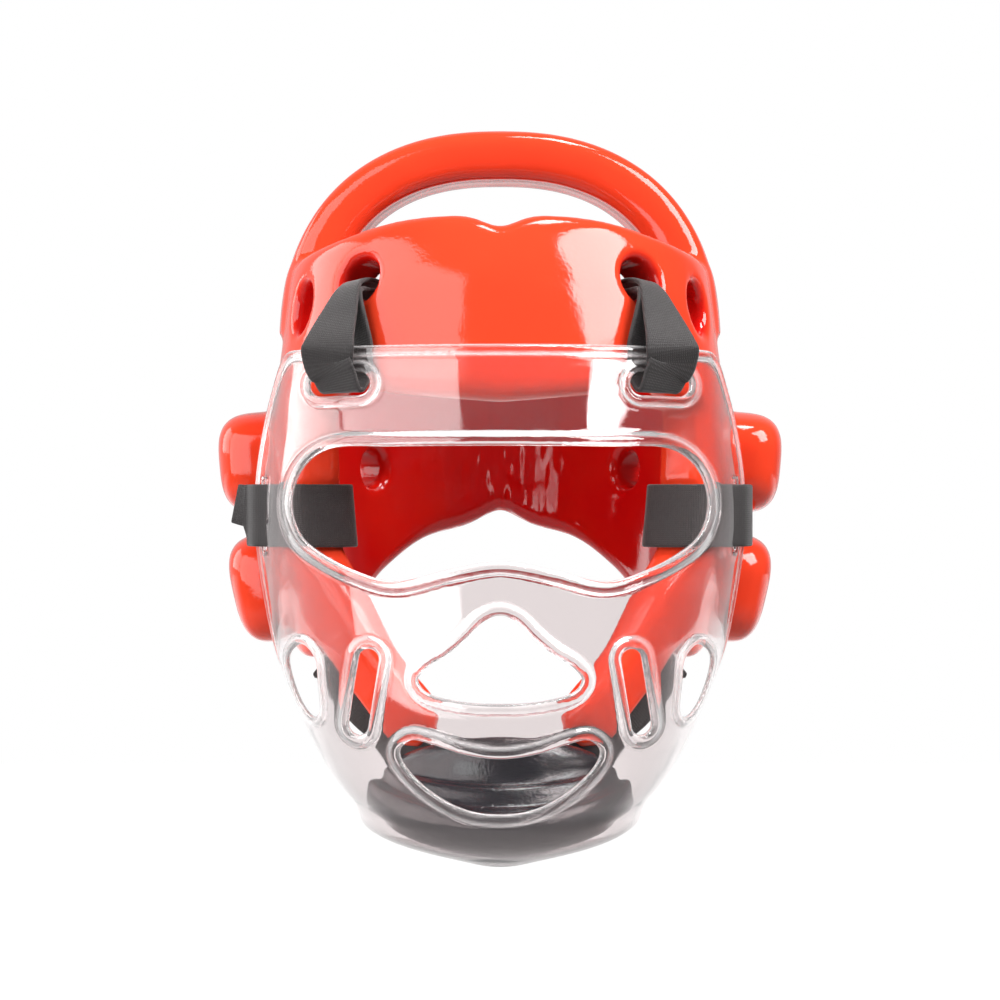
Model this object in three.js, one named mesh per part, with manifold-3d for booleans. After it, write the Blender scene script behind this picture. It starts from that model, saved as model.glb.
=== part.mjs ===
// Sparring headgear: a dipped-foam shell with a crown arch, ear pads and cheek arms, and a clear face
// shield hung on it by webbing straps, with a chin cup on a chin strap.
// Millimetres, +Z up, the face looks along -Y. The origin is the crown seat: the middle of the underside
// of the crown arch, which rests on top of the head.
import * as THREE from "three";
import { mergeVertices } from "three/addons/utils/BufferGeometryUtils.js";
import Module from "manifold-3d";

const wasm = await Module();
wasm.setup();

// Driving dimensions of the foam shell
const WALL_HALF = 9.5; // half the foam's thickness in the head band
const RAISED_HALF = 10.2; // half the thickness of the arch and of the cheek arms at the ear
const EDGE_FULLNESS = 0.72; // how round the foam's edges are: 1 is a half circle
const HEAD_POWER = 2.3; // superellipse power of the head's horizontal sections
const VENT_RADIUS = 10;
const BACK_VENT_RADIUS = 8;
const EAR_HOLE_RADIUS = 10;

// Middle of the foam wall, by height: half width, reach to the front, reach to the back
const HEAD_SECTIONS = [
  { z: 0, halfWidth: 56, front: 58, back: 58 },
  { z: -24, halfWidth: 74, front: 82, back: 76 },
  { z: -45, halfWidth: 78, front: 94, back: 88 },
  { z: -70, halfWidth: 81, front: 102, back: 98 },
  { z: -95, halfWidth: 84, front: 107, back: 105 },
  { z: -130, halfWidth: 84.5, front: 110, back: 107 },
  { z: -165, halfWidth: 83, front: 108, back: 102 },
  { z: -195, halfWidth: 76, front: 103, back: 95 },
  { z: -235, halfWidth: 62, front: 95, back: 86 },
];

// Upper and lower ends of the head band's wall, by angle from the front; the edges are rounded past them
const BAND_EDGES = [
  { angle: 0, top: -33, bottom: -87 },
  { angle: 25, top: -35, bottom: -84 },
  { angle: 45, top: -40, bottom: -82 },
  { angle: 60, top: -43, bottom: -96 },
  { angle: 75, top: -45, bottom: -130 },
  { angle: 90, top: -47, bottom: -158 },
  { angle: 110, top: -51, bottom: -170 },
  { angle: 128, top: -57, bottom: -168 },
  { angle: 142, top: -62, bottom: -156 },
  { angle: 160, top: -66, bottom: -141 },
  { angle: 180, top: -68, bottom: -135 },
];
const BROW_NOTCH = { depth: 5, halfWidth: 13 }; // dip in the middle of the forehead's top edge
const NAPE_NOTCH = { depth: 6, halfWidth: 16 }; // rise in the middle of the nape's edge

// Middle line of a cheek arm, from inside the head band down round the ear and forward along the jaw
const CHEEK_ARM = [
  { step: 0, angle: 79, z: -86, halfWidth: 42, halfThickness: 10.2 },
  { step: 1, angle: 78, z: -114, halfWidth: 45, halfThickness: 10.2 },
  { step: 2, angle: 76, z: -142, halfWidth: 44, halfThickness: 10.2 },
  { step: 3, angle: 67, z: -166, halfWidth: 34, halfThickness: 9.7 },
  { step: 4, angle: 50, z: -178.5, halfWidth: 17.5, halfThickness: 8.7 },
  { step: 5, angle: 38.3, z: -201, halfWidth: 12.6, halfThickness: 8.1 },
  { step: 6, angle: 22.5, z: -227, halfWidth: 13, halfThickness: 7.6 },
];

// Crown arch: a superellipse hoop over the head from side to side
const ARCH = { halfWidth: 82, rise: 79.5, power: 2.35, y: 4, bandHalf: 22, bandHalfAtRoot: 30, drop: 90 };

// Ear pads: rounded blocks on the shell's sides, above and below the ear groove
const EAR_PADS = [
  { x: 99.5, y: 9, z: -118, halfX: 18, halfY: 38, halfZ: 21, lean: 5 },
  { x: 95, y: 9, z: -170, halfX: 17, halfY: 36, halfZ: 23, lean: 13 },
];
const PAD_POWER = 3.2;

// Holes through the foam wall, by angle from the front and height
const STRAP_HOLE = { angle: 36, z: -50 };
const SIDE_VENT = { angle: 62, z: -58 };
const BACK_VENT = { angle: 134.5, z: -120 };
const EAR_HOLE = { angle: 94, z: -143 };

// Driving dimensions of the face shield
const SHIELD_WALL = 2.6;
const SHIELD_POWER = 2.4;
const SHIELD_FLARE = 0.93; // share of the section's full half width at which its rim ends, still flaring

// Outer face of the shield, by height: half width, depth of its rear rim, depth of its middle
const SHIELD_SECTIONS = [
  { z: -75, halfWidth: 86, rim: -62, middle: -121.5 },
  { z: -104, halfWidth: 95, rim: -44, middle: -130 },
  { z: -126, halfWidth: 98.6, rim: -40, middle: -136 },
  { z: -142, halfWidth: 99, rim: -40, middle: -140 },
  { z: -174, halfWidth: 95, rim: -42, middle: -147 },
  { z: -197, halfWidth: 89.5, rim: -49, middle: -150 },
  { z: -216, halfWidth: 81, rim: -58, middle: -151 },
  { z: -232, halfWidth: 73, rim: -67, middle: -149.5 },
  { z: -251, halfWidth: 58.5, rim: -80, middle: -144 },
  { z: -268, halfWidth: 36, rim: -95, middle: -132 },
  { z: -275, halfWidth: 8, rim: -108, middle: -117 },
];

// Right halves of the openings on the middle line, seen from the front, from top to bottom
const EYE_OPENING = [
  { x: 0, z: -113.7 },
  { x: 40, z: -113.8 },
  { x: 64, z: -114.2 },
  { x: 72.6, z: -118.3 },
  { x: 78.2, z: -125.2 },
  { x: 80.6, z: -134 },
  { x: 79.4, z: -142 },
  { x: 75.6, z: -148.7 },
  { x: 68, z: -154.2 },
  { x: 55, z: -160.3 },
  { x: 39.5, z: -164.3 },
  { x: 18.5, z: -159.7 },
  { x: 0, z: -156.8 },
];
const NOSE_OPENING = [
  { x: 0, z: -176.6 },
  { x: 6, z: -178.8 },
  { x: 12.2, z: -184.8 },
  { x: 18.8, z: -190.5 },
  { x: 27, z: -195.8 },
  { x: 30.2, z: -200.3 },
  { x: 27.5, z: -204.6 },
  { x: 15.5, z: -208 },
  { x: 0, z: -208.9 },
];
const MOUTH_OPENING = [
  { x: 0, z: -229.3 },
  { x: 13, z: -227.7 },
  { x: 26, z: -223.9 },
  { x: 33, z: -223 },
  { x: 37, z: -227 },
  { x: 35.5, z: -232 },
  { x: 26, z: -241.5 },
  { x: 12.5, z: -248.6 },
  { x: 0, z: -250.3 },
];
// Whole outlines of the right cheek's two openings; the left cheek mirrors them
const CHEEK_SLOT = { top: { x: 49, z: -193.5 }, bottom: { x: 53.2, z: -218.6 }, radius: 3.9 };
const SIDE_OPENING = [
  { x: 76.6, z: -189.8 },
  { x: 82.6, z: -195 },
  { x: 82.4, z: -203.6 },
  { x: 77.5, z: -215.4 },
  { x: 72.2, z: -218.6 },
  { x: 69.8, z: -216 },
  { x: 70, z: -205 },
  { x: 71.2, z: -194.5 },
];
const TOP_SLOT = { x: 61.5, z: -89.5, halfWidth: 12, halfHeight: 4.6 };
const RIM_SLOT = { y: -56.5, z: -140.2, halfLength: 14.5, halfWidth: 4 }; // in the side wall, for the side strap

// Webbing
const STRAP_THICKNESS = 1.8;
const TOP_STRAP_WIDTH = 22;
const TOP_STRAP_WIDTH_IN_HOLE = 14;
const SIDE_STRAP_HALF_HEIGHT = 12.5;
const CHIN_STRAP_WIDTH = 20;
const CUP_STRAP_WIDTH = 17;

// Chin cup: each row is a curve round the chin (half width, reach to the front of CUP_CENTRE_Y), its height
// in the middle and how much higher its ends are; the rows go once round the cup's section
const CUP_CENTRE_Y = -85;
const CUP_POWER = 2;
const CUP_ROWS = [
  { halfWidth: 24, reach: 20, z: -266, lift: 14 },
  { halfWidth: 40, reach: 38, z: -268.5, lift: 12 },
  { halfWidth: 47.5, reach: 46.5, z: -263.5, lift: 9 },
  { halfWidth: 52, reach: 51.5, z: -256, lift: 8 },
  { halfWidth: 51.5, reach: 49.5, z: -251, lift: 10 },
  { halfWidth: 47.5, reach: 43, z: -249.5, lift: 9 },
  { halfWidth: 46, reach: 38.5, z: -243, lift: 6 },
  { halfWidth: 44.5, reach: 35.5, z: -241, lift: 5 },
  { halfWidth: 43, reach: 32, z: -228, lift: -8 },
  { halfWidth: 40.5, reach: 28.5, z: -224, lift: -11 },
  { halfWidth: 37, reach: 25, z: -226.5, lift: -9 },
  { halfWidth: 35.5, reach: 24, z: -243, lift: 2 },
  { halfWidth: 32, reach: 18, z: -255, lift: 8 },
];

const RED_FOAM = new THREE.MeshStandardMaterial({ color: 0xe8321c, roughness: 0.18, metalness: 0 });
const CLEAR_SHEET = new THREE.MeshStandardMaterial({
  color: 0xf2f2f2,
  roughness: 0.05,
  metalness: 0,
  transparent: true,
  opacity: 0.3,
});
const BLACK_WEBBING = new THREE.MeshStandardMaterial({ color: 0x26262a, roughness: 0.85, metalness: 0 });
const BLACK_FOAM = new THREE.MeshStandardMaterial({ color: 0x1b1b1f, roughness: 0.3, metalness: 0 });

const radians = THREE.MathUtils.degToRad;
const vector = (x, y, z) => new THREE.Vector3(x, y, z);
const signedPower = (value, power) => Math.sign(value) * Math.abs(value) ** power;
const spread = (count, from, to) => Array.from({ length: count }, (_, i) => from + ((to - from) * i) / (count - 1));

// A smooth value of one column at a place along another, through every row of a table (cubic Hermite)
function along(rows, by, at, key) {
  const rising = rows[1][by] > rows[0][by] ? rows : [...rows].reverse();
  const last = rising.length - 1;
  const place = THREE.MathUtils.clamp(at, rising[0][by], rising[last][by]);
  let i = 0;
  while (i < last - 1 && place > rising[i + 1][by]) i += 1;
  const gap = (k) => rising[k + 1][by] - rising[k][by];
  const rate = (k) => (rising[k + 1][key] - rising[k][key]) / gap(k);
  const slope = (k) => {
    if (k === 0) return rate(0);
    if (k === last) return rate(last - 1);
    return (rate(k - 1) * gap(k) + rate(k) * gap(k - 1)) / (gap(k - 1) + gap(k));
  };
  const h = gap(i);
  const t = (place - rising[i][by]) / h;
  const rise = slope(i) * (t ** 3 - 2 * t ** 2 + t) + slope(i + 1) * (t ** 3 - t ** 2);
  return rising[i][key] + (rising[i + 1][key] - rising[i][key]) * (3 * t ** 2 - 2 * t ** 3) + h * rise;
}

// A closed solid from rings of points that are joined in order; capped at both ends, or closed on itself
function loft(rings, closed = false) {
  const size = rings[0].length;
  const points = rings.flat();
  const index = [];
  const joins = closed ? rings.length : rings.length - 1;
  for (let r = 0; r < joins; r += 1) {
    for (let k = 0; k < size; k += 1) {
      const a = r * size + k;
      const b = r * size + ((k + 1) % size);
      const c = ((r + 1) % rings.length) * size + k;
      const d = ((r + 1) % rings.length) * size + ((k + 1) % size);
      index.push(a, c, b, b, c, d);
    }
  }
  if (!closed) {
    for (const [start, turn] of [[0, 1], [(rings.length - 1) * size, -1]]) {
      const centre = points.length;
      const sum = points.slice(start, start + size).reduce((total, p) => total.add(p), vector(0, 0, 0));
      points.push(sum.divideScalar(size));
      for (let k = 0; k < size; k += 1) {
        const pair = [start + k, start + ((k + 1) % size)];
        index.push(centre, ...(turn > 0 ? pair : pair.reverse()));
      }
    }
  }
  return facingOut(points, index);
}

// A closed solid between two grids of points that lie over each other, such as the faces of a sheet
function sheet(outer, inner) {
  const rows = outer.length;
  const columns = outer[0].length;
  const points = [...outer.flat(), ...inner.flat()];
  const at = (r, c, side) => side * rows * columns + r * columns + c;
  const index = [];
  const quad = (a, b, c, d) => index.push(a, b, c, a, c, d);
  for (let r = 0; r < rows - 1; r += 1) {
    for (let c = 0; c < columns - 1; c += 1) {
      quad(at(r, c, 0), at(r + 1, c, 0), at(r + 1, c + 1, 0), at(r, c + 1, 0));
      quad(at(r, c, 1), at(r, c + 1, 1), at(r + 1, c + 1, 1), at(r + 1, c, 1));
    }
    quad(at(r, 0, 0), at(r, 0, 1), at(r + 1, 0, 1), at(r + 1, 0, 0));
    quad(at(r, columns - 1, 1), at(r, columns - 1, 0), at(r + 1, columns - 1, 0), at(r + 1, columns - 1, 1));
  }
  for (let c = 0; c < columns - 1; c += 1) {
    quad(at(0, c, 1), at(0, c, 0), at(0, c + 1, 0), at(0, c + 1, 1));
    quad(at(rows - 1, c, 0), at(rows - 1, c, 1), at(rows - 1, c + 1, 1), at(rows - 1, c + 1, 0));
  }
  return facingOut(points, index);
}

// The indexed geometry with its faces turned so that it holds a positive volume
function facingOut(points, index) {
  let volume = 0;
  for (let i = 0; i < index.length; i += 3) {
    const [a, b, c] = index.slice(i, i + 3).map((k) => points[k]);
    volume += a.dot(vector(0, 0, 0).crossVectors(b, c));
  }
  const turned = volume > 0 ? index : index.map((_, i) => index[i - (i % 3) + [0, 2, 1][i % 3]]);
  return new THREE.BufferGeometry().setFromPoints(points).setIndex(turned);
}

function toSolid(geometry) {
  const bare = geometry.clone();
  bare.deleteAttribute("normal");
  bare.deleteAttribute("uv");
  const merged = mergeVertices(bare, 1e-3);
  return new wasm.Manifold(
    new wasm.Mesh({
      numProp: 3,
      vertProperties: new Float32Array(merged.attributes.position.array),
      triVerts: new Uint32Array(merged.index.array),
    }),
  );
}

function toGeometry(solid) {
  const mesh = solid.getMesh();
  return new THREE.BufferGeometry()
    .setAttribute("position", new THREE.BufferAttribute(mesh.vertProperties, 3))
    .setIndex(new THREE.BufferAttribute(mesh.triVerts, 1));
}

function namedMesh(name, geometry, material) {
  const mesh = new THREE.Mesh(geometry, material);
  mesh.name = name;
  geometry.computeVertexNormals();
  return mesh;
}

const mirrored = (geometry) => toGeometry(toSolid(geometry).mirror([1, 0, 0]));

// Foam shell

// A point of the middle of the foam wall, at an angle from the front and a height
function headPoint(angle, z) {
  const part = (key) => along(HEAD_SECTIONS, "z", z, key);
  const reach = Math.cos(angle) >= 0 ? part("front") : part("back");
  const power = 2 / HEAD_POWER;
  return vector(
    part("halfWidth") * signedPower(Math.sin(angle), power),
    -reach * signedPower(Math.cos(angle), power),
    z,
  );
}

// The wall's outward normal and upward direction there, by small differences
function headFrame(angle, z) {
  const turn = 0.02;
  const lift = 1;
  const round = headPoint(angle + turn, z).sub(headPoint(angle - turn, z));
  const up = headPoint(angle, z + lift).sub(headPoint(angle, z - lift));
  const out = vector(0, 0, 0).crossVectors(round, up).normalize();
  return { out, up: up.clone().normalize(), perRadian: round.length() / (2 * turn), perHeight: up.length() / (2 * lift) };
}

// Points from one side of a wall to the other, round its edge: a half circle at fullness 1, squarer below
function roundEdge(centre, out, past, half, steps, fullness = EDGE_FULLNESS) {
  return spread(steps, 0, Math.PI).map((turn) =>
    centre
      .clone()
      .addScaledVector(out, half * signedPower(Math.cos(turn), fullness))
      .addScaledVector(past, half * signedPower(Math.max(0, Math.sin(turn)), fullness)),
  );
}

// Head band: the wall's section carried once round the head
function headBand() {
  const stations = 56;
  const wallSteps = 3;
  const edgeSteps = 5;
  const rings = Array.from({ length: stations }, (_, i) => {
    const even = (2 * Math.PI * i) / stations;
    const angle = even - 0.22 * Math.sin(2 * even); // closer stations at the brow and the nape
    const fromFront = THREE.MathUtils.radToDeg(Math.acos(Math.cos(angle)));
    const across = Math.abs(headPoint(angle, HEAD_SECTIONS[3].z).x);
    const dip = (notch) => notch.depth * Math.exp(-((across / notch.halfWidth) ** 2) * 2);
    const top = along(BAND_EDGES, "angle", fromFront, "top") - (fromFront < 90 ? dip(BROW_NOTCH) : 0);
    const bottom = along(BAND_EDGES, "angle", fromFront, "bottom") + (fromFront > 90 ? dip(NAPE_NOTCH) : 0);
    const wall = spread(wallSteps + 2, bottom, top).slice(1, -1);
    const side = (z, half) => headPoint(angle, z).addScaledVector(headFrame(angle, z).out, half);
    const topFrame = headFrame(angle, top);
    const bottomFrame = headFrame(angle, bottom);
    return [
      ...wall.map((z) => side(z, WALL_HALF)),
      ...roundEdge(headPoint(angle, top), topFrame.out, topFrame.up, WALL_HALF, edgeSteps),
      ...[...wall].reverse().map((z) => side(z, -WALL_HALF)),
      ...roundEdge(
        headPoint(angle, bottom),
        bottomFrame.out.negate(),
        bottomFrame.up.negate(),
        WALL_HALF,
        edgeSteps,
      ),
    ];
  });
  return loft(rings, true);
}

// Section of the right cheek arm at a step of its table: its half thickness, how far its flat faces reach to
// both sides of the middle line, and where a distance across the band lies, as an angle and a height
function armSection(step) {
  const last = CHEEK_ARM.length - 1;
  const endLength = 0.42; // length of the rounded end, in steps of the table
  const nearby = 0.05;
  const place = (at, key) => along(CHEEK_ARM, "step", at, key);
  const angle = radians(place(step, "angle"));
  const z = place(step, "z");
  const frame = headFrame(angle, z);
  const turn = radians(place(step + nearby, "angle") - place(step - nearby, "angle")) * frame.perRadian;
  const climb = (place(step + nearby, "z") - place(step - nearby, "z")) * frame.perHeight;
  const length = Math.hypot(turn, climb);
  const into = Math.max(0, step - last + endLength) / endLength;
  const shrink = Math.max(0.35, Math.sqrt(1 - into ** 2));
  const half = place(step, "halfThickness") * Math.max(0.6, shrink);
  const flat = Math.max(1, place(step, "halfWidth") * shrink - half);
  const across = (distance) => [
    angle + (distance * climb) / length / frame.perRadian,
    z - (distance * turn) / length / frame.perHeight,
  ];
  return { half, flat, across };
}

// An edge of the arm's flat faces: its middle, the wall's normal and the way past it; side 1 is the edge
// towards the face, side -1 the one towards the ear and the jaw
function armEdge(step, side) {
  const { half, flat, across } = armSection(step);
  const centre = headPoint(...across(side * flat));
  const past = headPoint(...across(side * (flat + 1))).sub(centre).normalize();
  return { centre, out: headFrame(...across(side * flat)).out, past, half };
}

// Cheek arm of the right side: a band with rounded edges laid along the head's surface
function cheekArm() {
  const pathSteps = 15;
  const acrossSteps = 4;
  const edgeSteps = 5;
  const rings = spread(pathSteps, 0, CHEEK_ARM.length - 1).map((step) => {
    const { half, flat, across } = armSection(step);
    const side = (distance, offset) =>
      headPoint(...across(distance)).addScaledVector(headFrame(...across(distance)).out, offset);
    const front = armEdge(step, 1);
    const rear = armEdge(step, -1);
    const inside = spread(acrossSteps + 2, -flat, flat).slice(1, -1);
    return [
      ...inside.map((distance) => side(distance, half)),
      ...roundEdge(front.centre, front.out, front.past, half, edgeSteps),
      ...[...inside].reverse().map((distance) => side(distance, -half)),
      ...roundEdge(rear.centre, rear.out.negate(), rear.past, half, edgeSteps),
    ];
  });
  return loft(rings);
}

// Crown arch: a rounded band carried over the head, wider at its roots
function crownArch() {
  const pathSteps = 21;
  const acrossSteps = 2;
  const edgeSteps = 5;
  const power = 2 / ARCH.power;
  const base = RAISED_HALF - ARCH.rise; // height of the hoop's widest level
  const middle = (turn) =>
    vector(
      ARCH.halfWidth * signedPower(Math.sin(turn), power),
      ARCH.y,
      base + ARCH.rise * signedPower(Math.cos(turn), power),
    );
  const rings = spread(pathSteps, radians(-88), radians(88)).map((turn) => {
    const tangent = middle(turn + 0.01).sub(middle(turn - 0.01)).normalize();
    const out = vector(-tangent.z, 0, tangent.x);
    const widen = Math.abs(Math.sin(turn)) ** 6;
    const flat = THREE.MathUtils.lerp(ARCH.bandHalf, ARCH.bandHalfAtRoot, widen) - RAISED_HALF;
    const fore = vector(0, -1, 0);
    const side = (distance, offset) =>
      middle(turn)
        .addScaledVector(fore, distance)
        .addScaledVector(out, offset - distance ** 2 / (2 * ARCH.drop));
    const inside = spread(acrossSteps + 2, -flat, flat).slice(1, -1);
    return [
      ...inside.map((distance) => side(distance, RAISED_HALF)),
      ...roundEdge(side(flat, 0), out, fore, RAISED_HALF, edgeSteps),
      ...[...inside].reverse().map((distance) => side(distance, -RAISED_HALF)),
      ...roundEdge(side(-flat, 0), out.clone().negate(), fore.clone().negate(), RAISED_HALF, edgeSteps),
    ];
  });
  return loft(rings);
}

// Ear pad of the right side: a superellipsoid, leaning in towards its lower end
function earPad(pad) {
  const geometry = new THREE.SphereGeometry(1, 14, 8);
  const position = geometry.attributes.position;
  for (let i = 0; i < position.count; i += 1) {
    const way = vector(0, 0, 0).fromBufferAttribute(position, i);
    const size = way.toArray().reduce((sum, part) => sum + Math.abs(part) ** PAD_POWER, 0) ** (1 / PAD_POWER);
    way.divideScalar(size);
    position.setXYZ(i, way.x * pad.halfX, way.y * pad.halfY, way.z * pad.halfZ);
  }
  return geometry.rotateY(radians(pad.lean)).translate(pad.x, pad.y, pad.z);
}

// A round bar through the wall, along its normal
function wallBar(hole, radius) {
  const length = 90;
  const middle = headPoint(radians(hole.angle), hole.z);
  const { out } = headFrame(radians(hole.angle), hole.z);
  const turn = new THREE.Quaternion().setFromUnitVectors(vector(0, 1, 0), out);
  return new THREE.CylinderGeometry(radius, radius, length, 20).applyQuaternion(turn).translate(...middle);
}

function foamShell() {
  const right = [cheekArm(), ...EAR_PADS.map(earPad)].map(toSolid);
  const holes = [
    wallBar(STRAP_HOLE, VENT_RADIUS),
    wallBar(SIDE_VENT, VENT_RADIUS),
    wallBar(BACK_VENT, BACK_VENT_RADIUS),
    wallBar(EAR_HOLE, EAR_HOLE_RADIUS),
  ].map(toSolid);
  let shell = toSolid(headBand()).add(toSolid(crownArch()));
  for (const piece of right) shell = shell.add(piece).add(piece.mirror([1, 0, 0]));
  for (const hole of holes) shell = shell.subtract(hole).subtract(hole.mirror([1, 0, 0]));
  return toGeometry(shell);
}

// Face shield

const shieldSize = (z, key) => along(SHIELD_SECTIONS, "z", z, key);

// How far forward a section stands at a share of its half width: 1 in the middle, 0 at the rim
function shieldForward(share) {
  const height = (part) => (1 - Math.min(1, Math.abs(part)) ** SHIELD_POWER) ** (1 / SHIELD_POWER);
  const end = height(SHIELD_FLARE);
  return (height(SHIELD_FLARE * share) - end) / (1 - end);
}

// Depth of the shield's outer face at a place seen from the front
function shieldDepth(x, z) {
  const rim = shieldSize(z, "rim");
  return rim + (shieldSize(z, "middle") - rim) * shieldForward(x / shieldSize(z, "halfWidth"));
}

// Outward normal of the shield's outer face at a place seen from the front
function shieldNormal(x, z) {
  const step = 0.5;
  const wide = shieldSize(z, "halfWidth") - step;
  const low = SHIELD_SECTIONS.at(-1).z + step;
  const high = SHIELD_SECTIONS[0].z - step;
  const at = { x: THREE.MathUtils.clamp(x, -wide, wide), z: THREE.MathUtils.clamp(z, low, high) };
  const across = (shieldDepth(at.x + step, at.z) - shieldDepth(at.x - step, at.z)) / (2 * step);
  const up = (shieldDepth(at.x, at.z + step) - shieldDepth(at.x, at.z - step)) / (2 * step);
  return vector(across, -1, up).normalize();
}

// The sheet between the outer face and the same face moved in by the wall's thickness
function shieldSheet() {
  const acrossSteps = 27;
  const heightSteps = 17;
  const top = SHIELD_SECTIONS[0].z;
  const bottom = SHIELD_SECTIONS.at(-1).z;
  const heights = spread(heightSteps, 0, 1).map(
    (share) => top + (bottom - top) * (0.75 * Math.sin((share * Math.PI) / 2) + 0.25 * share),
  );
  const shares = spread(acrossSteps, -1, 1).map((part) => Math.sin((part * Math.PI) / 2) * 0.4 + part * 0.6);
  const outer = heights.map((z) =>
    shares.map((share) => vector(0, 0, z).setX(share * shieldSize(z, "halfWidth"))).map((p) => p.setY(shieldDepth(p.x, z))),
  );
  const inner = outer.map((row) =>
    row.map((point) => {
      const moved = point.clone().addScaledVector(shieldNormal(point.x, point.z), -SHIELD_WALL);
      return moved.setZ(Math.min(top, moved.z));
    }),
  );
  return sheet(outer, inner);
}

// A smooth closed outline through a half outline's points and their mirror images
function mirroredOutline(half, count) {
  const left = half.slice(1, -1).reverse().map(({ x, z }) => ({ x: -x, z }));
  return smoothOutline([...half, ...left], count);
}

function smoothOutline(points, count) {
  const curve = new THREE.CatmullRomCurve3(points.map(({ x, z }) => vector(x, 0, z)), true, "centripetal");
  return curve.getSpacedPoints(count).slice(0, -1).map(({ x, z }) => ({ x, z }));
}

// A slot with round ends between two points
function slotOutline({ top, bottom, radius }, count) {
  const way = Math.atan2(bottom.z - top.z, bottom.x - top.x);
  const end = (centre, start) =>
    spread(count / 2, start, start + Math.PI).map((turn) => ({
      x: centre.x + radius * Math.cos(turn),
      z: centre.z + radius * Math.sin(turn),
    }));
  return [...end(bottom, way - Math.PI / 2), ...end(top, way + Math.PI / 2)];
}

const flipped = (outline) => outline.map(({ x, z }) => ({ x: -x, z })).reverse();

// A cutter: the outline extruded from front to back through the shield
function throughCutter(outline) {
  const length = 140;
  const shape = new THREE.Shape(outline.map(({ x, z }) => new THREE.Vector2(x, z)));
  return new THREE.ExtrudeGeometry(shape, { depth: length, bevelEnabled: false })
    .rotateX(Math.PI / 2)
    .translate(0, -30, 0);
}

function faceShield() {
  const cheeks = [slotOutline(CHEEK_SLOT, 14), smoothOutline(SIDE_OPENING, 18)];
  const topSlot = slotOutline(
    {
      top: { x: TOP_SLOT.x - TOP_SLOT.halfWidth + TOP_SLOT.halfHeight, z: TOP_SLOT.z },
      bottom: { x: TOP_SLOT.x + TOP_SLOT.halfWidth - TOP_SLOT.halfHeight, z: TOP_SLOT.z },
      radius: TOP_SLOT.halfHeight,
    },
    10,
  );
  const outlines = [
    mirroredOutline(EYE_OPENING, 48),
    mirroredOutline(NOSE_OPENING, 30),
    mirroredOutline(MOUTH_OPENING, 30),
    ...cheeks,
    ...cheeks.map(flipped),
    topSlot,
    flipped(topSlot),
  ];
  const sideSlot = new THREE.BoxGeometry(60, 2 * RIM_SLOT.halfWidth, 2 * RIM_SLOT.halfLength);
  let shield = toSolid(shieldSheet());
  for (const outline of outlines) shield = shield.subtract(toSolid(throughCutter(outline)));
  for (const x of [-100, 100]) {
    shield = shield.subtract(toSolid(sideSlot.clone().translate(x, RIM_SLOT.y, RIM_SLOT.z)));
  }
  return toGeometry(shield);
}

// Chin cup: its section, row by row, carried round the chin from end to end
function chinCup() {
  const stations = 19;
  const power = 2 / CUP_POWER;
  const endTurn = radians(80);
  const rings = spread(stations, -endTurn, endTurn).map((turn) =>
    CUP_ROWS.map((row) => {
      const aside = 1 - Math.abs(Math.cos(turn)) ** 1.5;
      return vector(
        row.halfWidth * signedPower(Math.sin(turn), power),
        CUP_CENTRE_Y - row.reach * Math.abs(Math.cos(turn)) ** power,
        row.z + row.lift * aside,
      );
    }),
  );
  return loft(rings);
}

// Webbing: a flat band along a path; each row has its middle, the way its width points, its width and, where
// the path isn't the middle of the width, how far the width is shifted
function ribbon(rows, stepsPerRow) {
  const middle = new THREE.CatmullRomCurve3(rows.map((row) => row.at), false, "centripetal");
  const last = rows.length - 1;
  const rings = spread(last * stepsPerRow + 1, 0, 1).map((t) => {
    const i = Math.min(last - 1, Math.floor(t * last));
    const part = t * last - i;
    const tangent = middle.getTangent(t);
    const aside = rows[i].wide.clone().lerp(rows[i + 1].wide, part);
    aside.addScaledVector(tangent, -aside.dot(tangent)).normalize();
    const face = vector(0, 0, 0).crossVectors(tangent, aside);
    const half = THREE.MathUtils.lerp(rows[i].width, rows[i + 1].width, part) / 2;
    const shift = THREE.MathUtils.lerp(rows[i].shift ?? 0, rows[i + 1].shift ?? 0, part);
    return [[1, 1], [-1, 1], [-1, -1], [1, -1]].map(([a, b]) =>
      middle
        .getPoint(t)
        .addScaledVector(aside, a * half + shift)
        .addScaledVector(face, (b * STRAP_THICKNESS) / 2),
    );
  });
  return loft(rings);
}

// A place on or off the shield's outer face, seen from the front; height is measured outwards
function offShield(x, z, height) {
  return vector(x, shieldDepth(x, z), z).addScaledVector(shieldNormal(x, z), height);
}

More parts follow.
